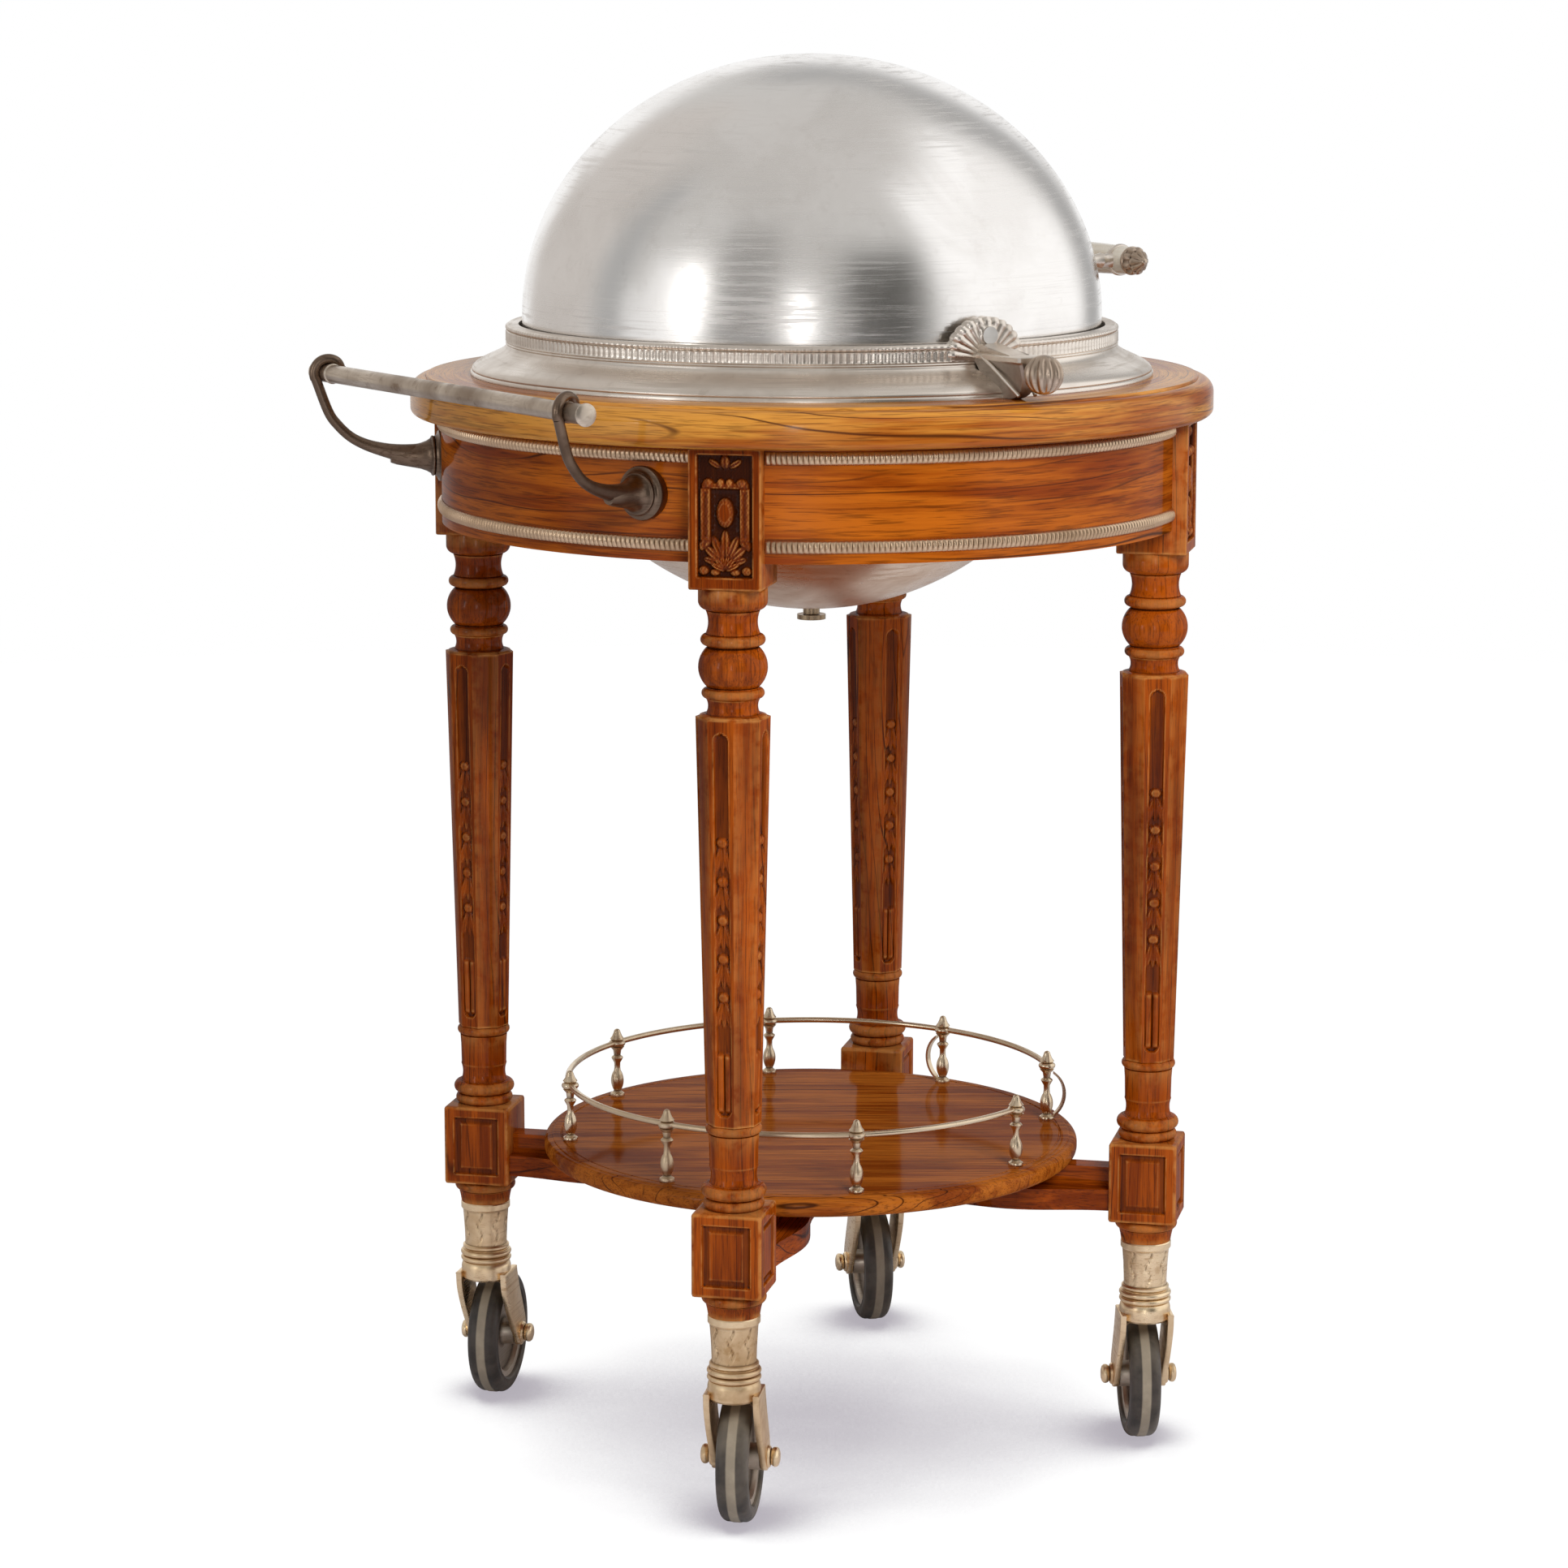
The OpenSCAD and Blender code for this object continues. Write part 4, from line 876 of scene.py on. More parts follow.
class Finishes:
    """Every finish of the trolley."""

    def __init__(self, effects: Effects) -> None:
        """Builds every material.

        Args:
            effects: The shared node groups.
        """
        def look(finish: WoodFinish | MetalFinish | SmoothFinish) -> Look:
            """Builds the look of one finish."""
            return Look(finish.material(effects), finish.slot)

        # The legs get painted shade in their creases and a painted highlight on their ridges.
        self.leg = look(WoodFinish("leg_wood", Grain.UPRIGHT, edges=1.0))
        self.apron = look(WoodFinish("apron_wood", Grain.ROUND, middle=(0.22, 0.036, 0.0015),
                                     light=(0.47, 0.115, 0.007), coat=0.24))
        self.board = look(WoodFinish("top_board_wood", Grain.ROUND, radius=333.0, dark=(0.06, 0.012, 0.002),
                                     middle=(0.32, 0.075, 0.006), light=(0.66, 0.29, 0.045), coat=0.5))
        self.shelf = look(WoodFinish("shelf_wood", Grain.PLANK, heading=-32.0, middle=(0.22, 0.043, 0.004),
                                     light=(0.44, 0.125, 0.014), coat=0.14))
        self.long_stretcher = look(WoodFinish("long_stretcher_wood", Grain.PLANK, heading=45.0))
        self.cross_stretcher = look(WoodFinish("cross_stretcher_wood", Grain.PLANK, heading=135.0))
        self.bearer = look(WoodFinish("bearer_wood", Grain.ROUND, coat=0.1))
        self.dome = look(MetalFinish("dome_silver", (0.92, 0.895, 0.87), (0.77, 0.735, 0.7), (0.3, 0.26, 0.2),
                                     rough=0.16, haze=0.1, patches=0.5, scratch_depth=0.00004,
                                     scratch_haze=0.2, brushed=0.35, edges=0.0))
        self.plate = look(MetalFinish("worn_silver_plate", (0.84, 0.765, 0.685), (0.56, 0.485, 0.41),
                                      (0.1, 0.068, 0.048), rough=0.26, haze=0.12, patches=0.6,
                                      scratch_depth=0.00002, edges=0.5))
        self.bowl = look(MetalFinish("bowl_plate", (0.95, 0.77, 0.6), (0.66, 0.46, 0.3), (0.2, 0.12, 0.07),
                                     rough=0.24, haze=0.12, patches=0.7, edges=0.0))
        self.tarnished = look(MetalFinish("tarnished_plate", (0.56, 0.45, 0.36), (0.34, 0.24, 0.16),
                                          (0.06, 0.036, 0.024), rough=0.24, haze=0.14, patches=0.7))
        self.beading = look(MetalFinish("beading_plate", (0.68, 0.49, 0.33), (0.4, 0.26, 0.15),
                                        (0.07, 0.035, 0.02), rough=0.26, patches=0.7, slot="beading_metal"))
        self.arm = look(MetalFinish("dark_arm_metal", (0.2, 0.14, 0.1), (0.09, 0.055, 0.036),
                                    (0.02, 0.012, 0.008), rough=0.28, patches=0.8, slot="dark_nickel"))
        self.gallery = look(MetalFinish("gallery_plate", (0.74, 0.6, 0.43), (0.48, 0.34, 0.2),
                                        (0.12, 0.075, 0.045), rough=0.24, patches=0.65, slot="gallery_metal"))
        self.pewter = look(MetalFinish("handle_pewter", (0.66, 0.57, 0.47), (0.28, 0.2, 0.14),
                                       (0.04, 0.025, 0.016), rough=0.3, patches=0.9, slot="dark_nickel"))
        self.steel = look(MetalFinish("plain_steel", (0.6, 0.58, 0.55), (0.42, 0.38, 0.34),
                                      (0.08, 0.07, 0.06), rough=0.3, patches=0.6))
        self.brass = look(MetalFinish("caster_brass", (0.96, 0.76, 0.5), (0.56, 0.36, 0.18),
                                      (0.08, 0.04, 0.016), rough=0.25, patches=0.85, radius=22.0,
                                      slot="caster_brass"))
        self.bronze = look(MetalFinish("drain_bronze", (0.34, 0.25, 0.16), (0.2, 0.13, 0.08),
                                       (0.04, 0.02, 0.012), rough=0.3, patches=0.8, radius=12.0))
        self.wheel = look(MetalFinish("wheel_iron", (0.62, 0.54, 0.45), (0.42, 0.34, 0.26),
                                      (0.08, 0.055, 0.04), rough=0.36, patches=0.7, slot="wheel_metal"))
        self.ivory = look(SmoothFinish("ivory_grip", (0.74, 0.68, 0.58), (0.62, 0.53, 0.41),
                                       (0.8, 0.76, 0.68), rough=0.22))
        self.rubber = look(SmoothFinish("tyre_rubber", (0.05, 0.04, 0.033), (0.02, 0.016, 0.013),
                                        (0.36, 0.3, 0.22), rough=0.5, streak=(60.0, 60.0, 60.0), depth=0.0002,
                                        slot="tyre_rubber"))


def dress(node: str, look: Look) -> None:
    """Gives a carried-over CAD node its finish."""
    bpy.data.objects[node].data.materials[0] = look.material
    LOG.info("%s: carried over in %s", node, look.material.name)


@dataclass
class Assembly:
    """A sub-assembly of the trolley, and the finishes that it is dressed in."""

    finishes: Finishes

    def build(self) -> None:
        """Builds and dresses its pieces."""
        raise NotImplementedError

    @staticmethod
    def lathe(name: str, node: str, profile: Profile, look: Look, segments: int,
              place: Matrix | None = None, ripple: Shaping | None = None, loop: bool = False,
              body: str = "frame", crease: float = 32.0) -> None:
        """Builds a piece that is one solid of revolution.

        Args:
            name: Name of the piece.
            node: The CAD node that it stands for.
            profile: Points of radius and height.
            look: Its look.
            segments: Number of columns.
            place: Where it goes, if not on the table's axis.
            ripple: Adds to the radius, from the angle and the height.
            loop: The profile is a closed loop.
            body: The CAD body that carries it.
            crease: Angle in degrees above which an edge stays sharp.
        """
        piece = Piece()
        piece.turned(profile, place or on_axis(), segments, ripple, loop)
        piece.build(name, look, body, [node], crease)


# ---------------------------------------------------------------- carving


def leaf(x: np.ndarray, y: np.ndarray, foot: tuple[float, float], lean: float, length: float, width: float,
         height: float) -> np.ndarray:
    """Height of a carved leaf that grows from its foot.

    Args:
        x, y: Places across and up.
        foot: Where the leaf starts.
        lean: Degrees from upright.
        length, width, height: Its sizes.

    Returns:
        Its height at every place.
    """
    a = math.radians(lean)
    dx, dy = x - foot[0], y - foot[1]
    along = dx * math.sin(a) + dy * math.cos(a)
    across = dx * math.cos(a) - dy * math.sin(a)
    inside = 1 - ((along - length / 2) / (length / 2)) ** 2 - (across / (width / 2)) ** 2
    vein = 0.32 * np.exp(-((across / (0.09 * width)) ** 2))
    return height * np.sqrt(np.clip(inside, 0, 1)) * (0.6 + 0.4 * np.clip(along / length, 0, 1)) * (1 - vein)


def mound(x: np.ndarray, y: np.ndarray, middle: tuple[float, float], half: tuple[float, float],
          height: float) -> np.ndarray:
    """Height of a smooth oval boss."""
    inside = 1 - ((x - middle[0]) / half[0]) ** 2 - ((y - middle[1]) / half[1]) ** 2
    return height * np.sqrt(np.clip(inside, 0, 1))


def strip(x: np.ndarray, low: float, high: float, soft: float) -> np.ndarray:
    """1 from low to high, with soft sides."""
    return smooth((x - low) / soft + 0.5) * smooth((high - x) / soft + 0.5)


@dataclass
class Legs(Assembly):
    """The four legs: carved top block, turned neck and ball, fluted shaft, lower turning and toe."""

    circle: float = 290.0
    toe_z: float = 182.0
    block_low: float = 202.0
    block_top: float = 270.5
    ring_z: float = 339.5
    neck_z: float = 665.9
    head_z: float = 767.9
    board_z: float = 877.9
    head_w: float = 58.0
    foot_w: float = 57.0
    shaft_low_w: float = 40.6
    shaft_top_w: float = 54.5
    channel_w: float = 12.0
    channel_d: float = 2.5
    twist: dict[Corner, float] = field(default_factory=lambda: {
        Corner.REAR_RIGHT: -8.4, Corner.REAR_LEFT: -18.7, Corner.FRONT_RIGHT: 14.8, Corner.FRONT_LEFT: 39.0})

    def place(self, corner: Corner) -> Matrix:
        """The place of a leg, with +X outwards."""
        return on_axis() @ turn(corner.value) @ shift(self.circle, 0, 0)

    def build(self) -> None:
        """Builds and dresses every leg."""
        for corner in Corner:
            piece = Piece()
            place = self.place(corner)
            self._head(piece, place)
            piece.turned(self._neck(), place)
            self._shaft(piece, place @ turn(self.twist[corner]))
            piece.turned(self._low_turning(), place)
            self._foot_block(piece, place)
            piece.turned(self._toe(), place, 72)
            piece.build(f"carved_leg_{corner.label}", self.finishes.leg, "frame",
                        [f"leg_{corner.label}"])

    def _head(self, piece: Piece, place: Matrix) -> None:
        """The top block, with its carved panel on the outer side."""
        height = self.board_z - self.head_z
        piece.block(self.head_w, self.head_z, height, place, {0: self._head_carving}, 0.75)

    @staticmethod
    def _head_carving(x: np.ndarray, v: np.ndarray) -> np.ndarray:
        """Relief of the carved panel: pediment leaf, scalloped bar, straps, oval boss and acanthus.

        Args:
            x, v: Places across and above the block's lower end.

        Returns:
            The height at every place.
        """
        half, low, high, edge = 21.5, 10.0, 104.5, 1.2
        panel = strip(x, -half, half, edge) * strip(v, low, high, edge)
        y = v - low
        ground = -4.0 - 0.8 * strip(x, -9.5, 9.5, 3) * strip(y, 36, 66, 3)
        shapes = [mound(x, y, (0, 50), (7.4, 12.2), 5.6), leaf(x, y, (0, 83.5), 0, 11.5, 8, 3.6),
                  2.4 * strip(x, -18.5, 18.5, 2) * strip(y, 68.5, 73, 2)]
        for side in (-1, 1):
            strap = 2.6 * strip(side * x, 11.5, 19.5, 1.6) * strip(y, 28, 69, 2)
            strap -= 0.9 * np.exp(-(((side * x - 15.5) / 1.2) ** 2)) * strip(y, 31, 66, 2)
            shapes.append(strap)
            for across, up, lean, *sizes in ((12.5, 33.5, 155, 12, 9, 3.4), (3.0, 84.5, 58, 12, 5.5, 3.0)):
                shapes.append(leaf(x, y, (side * across, up), side * lean, *sizes))
            for across, up, wide, tall, high in ((17.0, 5.0, 4.4, 3.8, 3.2), (8.0, 3.8, 4.2, 3.0, 2.8),
                                                 (18.4, 24.5, 2.8, 4.5, 2.6)):
                shapes.append(mound(x, y, (side * across, up), (wide, tall), high))
        for across, wide in ((-13.5, 4.6), (-3.4, 3.4), (3.6, 3.6), (13.2, 5.0)):
            shapes.append(mound(x, y, (across, 72.5), (wide, 4.2), 3.6))
        for lean, *sizes in ((74, 18, 7, 3.0), (48, 22, 8, 3.6), (24, 25, 8, 4.0), (0, 28, 8.5, 4.3)):
            shapes.extend(leaf(x, y, (0, 9.5), side * lean, *sizes) for side in (-1, 1))
        for lean in (-62, -36, -12, 12, 36, 62):
            shapes.append(leaf(x, y, (0, 5.0), lean, 13, 5, 4.6))
        tool = 0.18 * np.sin(x * 2.3 + np.sin(y * 0.9)) * np.sin(y * 1.7)
        return panel * np.minimum(ground + np.max(np.stack(shapes), axis=0) + tool, -0.3)

    def _neck(self) -> Profile:
        """Profile of the neck, ball and collar under the top block."""
        z = self.neck_z
        return [(27.2, z - 1), (27.2, z), (26.2, z + 1.2), (22.5, z + 2.2), *cove(z + 8.4, 12.2, 19.6, 21.4),
                *bead(z + 18.5, 8, 24.75), (20.5, z + 23), *bulge(z + 39, 32, 27.25, 20), (20.6, z + 55.6),
                *bead(z + 60.5, 9, 25.5), *cove(z + 74.4, 17.6, 19.4, 21.2),
                *arc(20.25, z + 91, 7, -90, 0), (27.25, z + 101.5), (26.6, z + 102.6)]

    def _low_turning(self) -> Profile:
        """Profile of the mouldings between the bottom block and the shaft's ring."""
        z = self.block_top
        return [(21, z - 1), *bead(z + 4.5, 9, 24.5), (21.5, z + 9.1), *bead(z + 14.5, 11, 26),
                (20.5, z + 20.3), *cove(z + 27.5, 14, 18.3, 19.6), (19.3, z + 36), (19.6, z + 52),
                (20.2, self.ring_z - 8.6), *bead(self.ring_z - 4, 8, 22.5), (20.3, self.ring_z + 0.8)]

    def _toe(self) -> Profile:
        """Profile of the round moulding and taper above the caster's cap, with its spigot."""
        z = self.toe_z
        return [(14.9, z - 21.5), (14.9, z - 0.2), (20.8, z), (21.6, z + 5), (22.8, z + 10.2),
                (23.2, z + 10.6), *bead(z + 15.2, 9, 26.2), (24.5, z + 20.4), (24, z + 20.8)]

    def _foot_block(self, piece: Piece, place: Matrix) -> None:
        """The bottom block, with a sunk bevelled panel on its three outer sides."""
        piece.block(self.foot_w, self.block_low, self.block_top - self.block_low, place,
                    {side: self._foot_carving for side in (0, 1, 3)}, 1.0, 2.2)

    def _foot_carving(self, x: np.ndarray, v: np.ndarray) -> np.ndarray:
        """Relief of a sunk panel with a raised field.

        Args:
            x, v: Places across and above the block's lower end.

        Returns:
            The height at every place.
        """
        h = self.block_top - self.block_low
        inner = np.minimum(self.foot_w / 2 - 9.5 - np.abs(x), h / 2 - 9.5 - np.abs(v - h / 2))
        sunk = -2.4 * smooth(inner / 1.4 + 0.5)
        return sunk + 1.3 * smooth((inner - 3.5) / 2.5)

    def _shaft(self, piece: Piece, place: Matrix) -> None:
        """The eight-sided shaft with carved channels in four of its sides.

        Args:
            piece: The piece that it goes into.
            place: The leg's place.
        """
        z = np.linspace(self.ring_z, self.neck_z, 262)
        share = (z - self.ring_z) / (self.neck_z - self.ring_z)
        half = (self.shaft_low_w + (self.shaft_top_w - self.shaft_low_w) * share) / 2
        side_half = half * math.tan(math.radians(22.5))
        columns, marks = [], []
        for k in range(8):
            carved = k % 2 == 0
            steps = np.linspace(-0.985, 0.985, 25 if carved else 3)
            t = side_half[:, None] * steps[None, :]
            v = np.broadcast_to(z[:, None], t.shape)
            up = self._channel(t, v) if carved else np.zeros_like(t)
            out = half[:, None] + up
            columns.append(on_side(out, t, v, math.radians(45 * k)))
            marks.append(up)
        piece.sheet(np.concatenate(columns, axis=1), place, relief=np.concatenate(marks, axis=1))

    def _channel(self, t: np.ndarray, z: np.ndarray) -> np.ndarray:
        """Relief of a channel: plain flute above, a chain of husks, then two stopped reeds.

        Args:
            t, z: Places across the side and up the leg.

        Returns:
            The height at every place.
        """
        top, bottom = self.neck_z - 11.0, self.ring_z + 9.0
        husk_top, reed_top = self.neck_z - 93.0, self.ring_z + 61.0
        half = self.channel_w / 2
        end = np.minimum(top - z, z - bottom)
        reach = np.sqrt(np.clip(half**2 - np.clip(half - end, 0, half) ** 2, 0, None))
        hollow = -self.channel_d * np.sqrt(np.clip(1 - (t / (reach + 0.4)) ** 2, 0, 1)) ** 0.5
        hollow = np.where(end > 0, hollow * smooth((reach + 0.4 - np.abs(t)) / 1.2), 0)
        husks = np.zeros_like(t)
        for k in range(5):
            foot = husk_top - 4 - 31.0 * k
            husks = np.maximum(husks, mound(t, z, (0, foot), (4.6, 4.4), 2.5))
            for side in (-1, 1):
                husks = np.maximum(husks, leaf(t, z, (side * 1.2, foot - 3), side * 168, 21, 5.2, 2.1))
            husks = np.maximum(husks, leaf(t, z, (0, foot - 6), 180, 19, 4.0, 1.9))
        gate = strip(z, reed_top + 2, husk_top + 2, 2)
        pair = np.sqrt(np.clip(1 - ((np.abs(t) - 2.9) / 2.7) ** 2, 0, 1))
        reeds = 2.3 * pair * strip(z, bottom + 4, reed_top - 2, 4)
        return np.minimum(hollow + husks * gate + reeds, 0)


@dataclass
class Skirt(Assembly):
    """The curved apron with its two strips of ribbed beading."""

    apron_r: float = 308.0
    bead_h: float = 10.5
    proud: float = 3.5
    upper_z: float = 869.65
    lower_z: float = 801.15
    block_half: float = 29.0
    pitch: float = 4.2
    sunk: float = 0.5

    def build(self) -> None:
        """Dresses the aprons and builds the beadings."""
        for side in ("front", "left", "rear", "right"):
            dress(f"apron_{side}", self.finishes.apron)
        for name, z in (("upper", self.upper_z), ("lower", self.lower_z)):
            piece = Piece()
            for corner in Corner:
                self._strip(piece, corner, z)
            look = self.finishes.beading
            piece.build(f"ribbed_beading_{name}", look, "frame", [f"beading_{name}"], 50.0)

    def _strip(self, piece: Piece, corner: Corner, z: float) -> None:
        """One strip of beading, from this leg to the next.

        Args:
            piece: The piece that it goes into.
            corner: The leg that it starts from.
            z: The height of its middle.
        """
        stop = math.degrees(math.asin((self.block_half + 0.2) / self.apron_r))
        start, end = corner.value + stop, corner.value + 90 - stop
        length = math.radians(end - start) * self.apron_r
        ribs = int(length / self.pitch)
        around = np.linspace(0, 1, ribs * 6 + 1)
        angle = np.radians(start + (end - start) * around)
        phase = around * ribs * math.pi
        section = np.radians(np.linspace(-90, 90, 11))
        height = z + np.sin(section)[:, None] * self.bead_h / 2
        rise = np.cos(section)[:, None]
        swell = 0.62 + 0.38 * np.abs(np.sin(phase))[None, :] ** 0.7
        edge = 0.35 * (np.abs(np.sin(section)) > 0.85)[:, None]
        out = self.apron_r + 0.1 + self.proud * (rise * swell * (1 - edge) + edge * 0.5 * rise)
        back = rings(self.apron_r - self.sunk, angle, height[[-1, 0]])
        ring = np.concatenate([rings(out, angle, height), back], axis=0).transpose(1, 0, 2)
        marks = ((swell - 1) * 3.2 * (rise > 0.2)).astype(float)
        marks = np.concatenate([marks, np.zeros((2, marks.shape[1]))], axis=0).T
        piece.sheet(ring[:, ::-1], on_axis(), relief=marks[:, ::-1])


@dataclass
class Top(Assembly):
    """The round top board and the bearer below it."""

    opening_r: float = 250.0
    board_r: float = 333.0
    low: float = 877.9
    high: float = 909.9
    nose_r: float = 12.0
    step: float = 2.0

    def build(self) -> None:
        """Builds the board and dresses the bearer."""
        r, flat, shoulder = self.board_r, self.board_r - self.nose_r, self.high - self.step
        profile = [(self.opening_r, self.low), (r - 8, self.low), *arc(r - 5, self.low + 5, 5, -90, 0, 8),
                   *arc(flat, shoulder - self.nose_r, self.nose_r, 0, 90, 14), (flat - 0.8, shoulder),
                   (flat - 1.2, self.high - 0.5), (flat - 1.8, self.high), (self.opening_r, self.high)]
        self.lathe("round_top_board", "top_board", profile, self.finishes.board, 240, loop=True)
        dress("top_bearer", self.finishes.bearer)


@dataclass
class Shelf(Assembly):
    """The round shelf on its crossed stretchers, and the gallery round it."""

    radius: float = 227.5
    low: float = 245.0
    high: float = 261.0
    gallery_r: float = 207.0
    rail_z: float = 309.0
    rail_r: float = 2.5
    posts: int = 8
    bay: float = 45.0
    first_post: float = 22.5
    open_from: float = 337.5

    def build(self) -> None:
        """Builds the shelf, the posts and the rail."""
        self._board()
        dress("stretcher_long", self.finishes.long_stretcher)
        dress("stretcher_cross", self.finishes.cross_stretcher)
        dress("shelf_screws", self.finishes.steel)
        dress("gallery_braces", self.finishes.gallery)
        self._posts()
        self._rail()

    def _board(self) -> None:
        """The shelf with its thumb-moulded edge and incised line."""
        r, top = self.radius, self.high
        profile = [(CENTRE, self.low), (r - 8, self.low), *arc(r - 6, self.low + 6, 6, -90, 0, 8),
                   *arc(r - 6, top - 6.8, 6, 0, 88, 10), (r - 6.4, top - 0.9), (r - 7.2, top - 0.2),
                   (r - 8, top), (r - 13.6, top), (r - 14.2, top - 0.7), (r - 15.0, top - 0.7),
                   (r - 15.6, top), (CENTRE, top)]
        self.lathe("round_shelf", "shelf", profile, self.finishes.shelf, 200)

    def _posts(self) -> None:
        """The turned gallery posts: foot, vase, slim neck, ring and cone."""
        z, rail = self.high, self.rail_z
        profile = [(6.2, z), (6.4, z + 1), (6.0, z + 2.6), (4.4, z + 3.6), *bulge(z + 14, 18, 5.6, 3.0, 12),
                   (2.6, z + 26), (2.7, z + 30), (4.6, z + 33.4), (5.2, z + 34.6), (4.6, z + 35.6),
                   (2.9, z + 36.8), (3.6, rail - 6.6), (6.3, rail - 3.6), *bead(rail - 0.4, 5.2, 7.3, 8),
                   (6.2, rail + 3.6), (4.3, rail + 6.2), (3.2, rail + 9), *arc(0, rail + 9.6, 2.9, 10, 85, 6)]
        piece = Piece()
        for i in range(self.posts):
            angle = self.first_post + self.bay * i
            piece.turned(profile, on_axis() @ turn(angle) @ shift(self.gallery_r, 0, 0), 32)
        piece.build("turned_gallery_posts", self.finishes.gallery, "frame", ["gallery_posts"])

    def _rail(self) -> None:
        """The rail through the posts, which leaves one bay open."""
        angle = np.radians(np.linspace(self.open_from, self.open_from + 360 - self.bay, 190))
        path = rings(self.gallery_r, angle, self.rail_z)
        piece = Piece()
        piece.tube(path, np.full(len(path), self.rail_r), on_axis(), 20)
        piece.build("gallery_rail_rod", self.finishes.gallery, "frame", ["gallery_rail"])


@dataclass
class Well(Assembly):
    """The plated ring round the dome, the bowl that takes the dome, and its drain."""

    bore: float = 243.0
    collar: float = 252.0
    foot: float = 283.0
    board_z: float = 909.9
    band_z: float = 935.9
    top_z: float = 950.9
    bowl_r: float = 242.5
    bowl_t: float = 1.5
    flange_r: float = 262.0
    drain_r: float = 4.3
    pivot_z: float = 956.9
    flutes: int = 282

    def build(self) -> None:
        """Builds the ring and the bowl, and dresses the drain."""
        self._ring()
        self._bowl()
        dress("drain_boss", self.finishes.bronze)
        dress("drain_plug", self.finishes.bronze)

    def _ring(self) -> None:
        """The ring: stepped foot, ogee, and a collar with a fluted band."""
        z0, z1, base = self.board_z + 3, self.band_z, self.board_z + 0.1
        foot, collar, bore, flange = self.foot, self.collar, self.bore, self.flange_r + 0.4
        wide, drop = foot - 1.2, foot - 1.2 - collar - 1.6
        ogee = [(wide - drop * (1 - math.cos(math.pi * t)) / 2, z0 + 1.2 + (z1 - 3.2 - z0) * t)
                for t in np.linspace(0, 1, 26)]
        band = collar + 1.9
        hidden = [(bore, self.top_z - 0.5), (bore, self.board_z + 2.2), (bore + 2, self.board_z + 2.2),
                  (bore + 2, z1), (flange, z0 + 2)]
        profile = [(flange, base), (foot, base), (foot, z0 - 0.8), (foot - 0.6, z0), (foot - 1.4, z0 + 0.4),
                   *ogee, (collar + 1.2, z1 - 1.6), (collar + 1.8, z1 - 0.6), (collar + 1.2, z1 + 0.4),
                   (band, z1 + 1.4), *[(band, z) for z in np.linspace(z1 + 2.2, z1 + 9.2, 5)],
                   (band - 0.4, z1 + 9.9), (collar + 0.9, z1 + 10.4), *bead(z1 + 12.3, 3.6, collar + 2.0, 8),
                   (collar - 0.3, self.top_z - 0.5), (collar - 0.8, self.top_z), (bore + 0.5, self.top_z),
                   *hidden]

        def flute(angle: np.ndarray, z: np.ndarray) -> np.ndarray:
            """Depth of the flutes, and of the small beads above them.

            Args:
                angle, z: Places round and up.

            Returns:
                What it adds to the radius.
            """
            wave = np.abs(np.cos(angle * self.flutes / 2))
            cut = -0.8 * strip(z, z1 + 1.8, z1 + 9.6, 0.9) * wave**1.6
            cut -= 0.7 * strip(z, z1 + 10.8, z1 + 13.8, 0.8) * wave**2
            cut[-len(hidden) - 1:] = 0
            return cut

        self.lathe("plated_dome_ring", "dome_ring", profile, self.finishes.plate, self.flutes * 5,
                   ripple=flute, loop=True, crease=40.0)

    def _bowl(self) -> None:
        """The deep bowl below the top, with its flange on the board."""
        out, flange_z = self.bowl_r + self.bowl_t, self.board_z + self.bowl_t
        edge = math.degrees(math.asin((self.board_z - self.pivot_z) / out))
        inner_edge = math.degrees(math.asin((flange_z - self.pivot_z) / self.bowl_r))
        bore = math.degrees(math.acos(self.drain_r / out))
        profile = [*arc(0, self.pivot_z, out, -bore, edge, 60), (self.flange_r, self.board_z),
                   (self.flange_r, flange_z), *arc(0, self.pivot_z, self.bowl_r, inner_edge, -bore, 60)]
        self.lathe("deep_well_bowl", "well_bowl", profile, self.finishes.bowl, 160, loop=True)


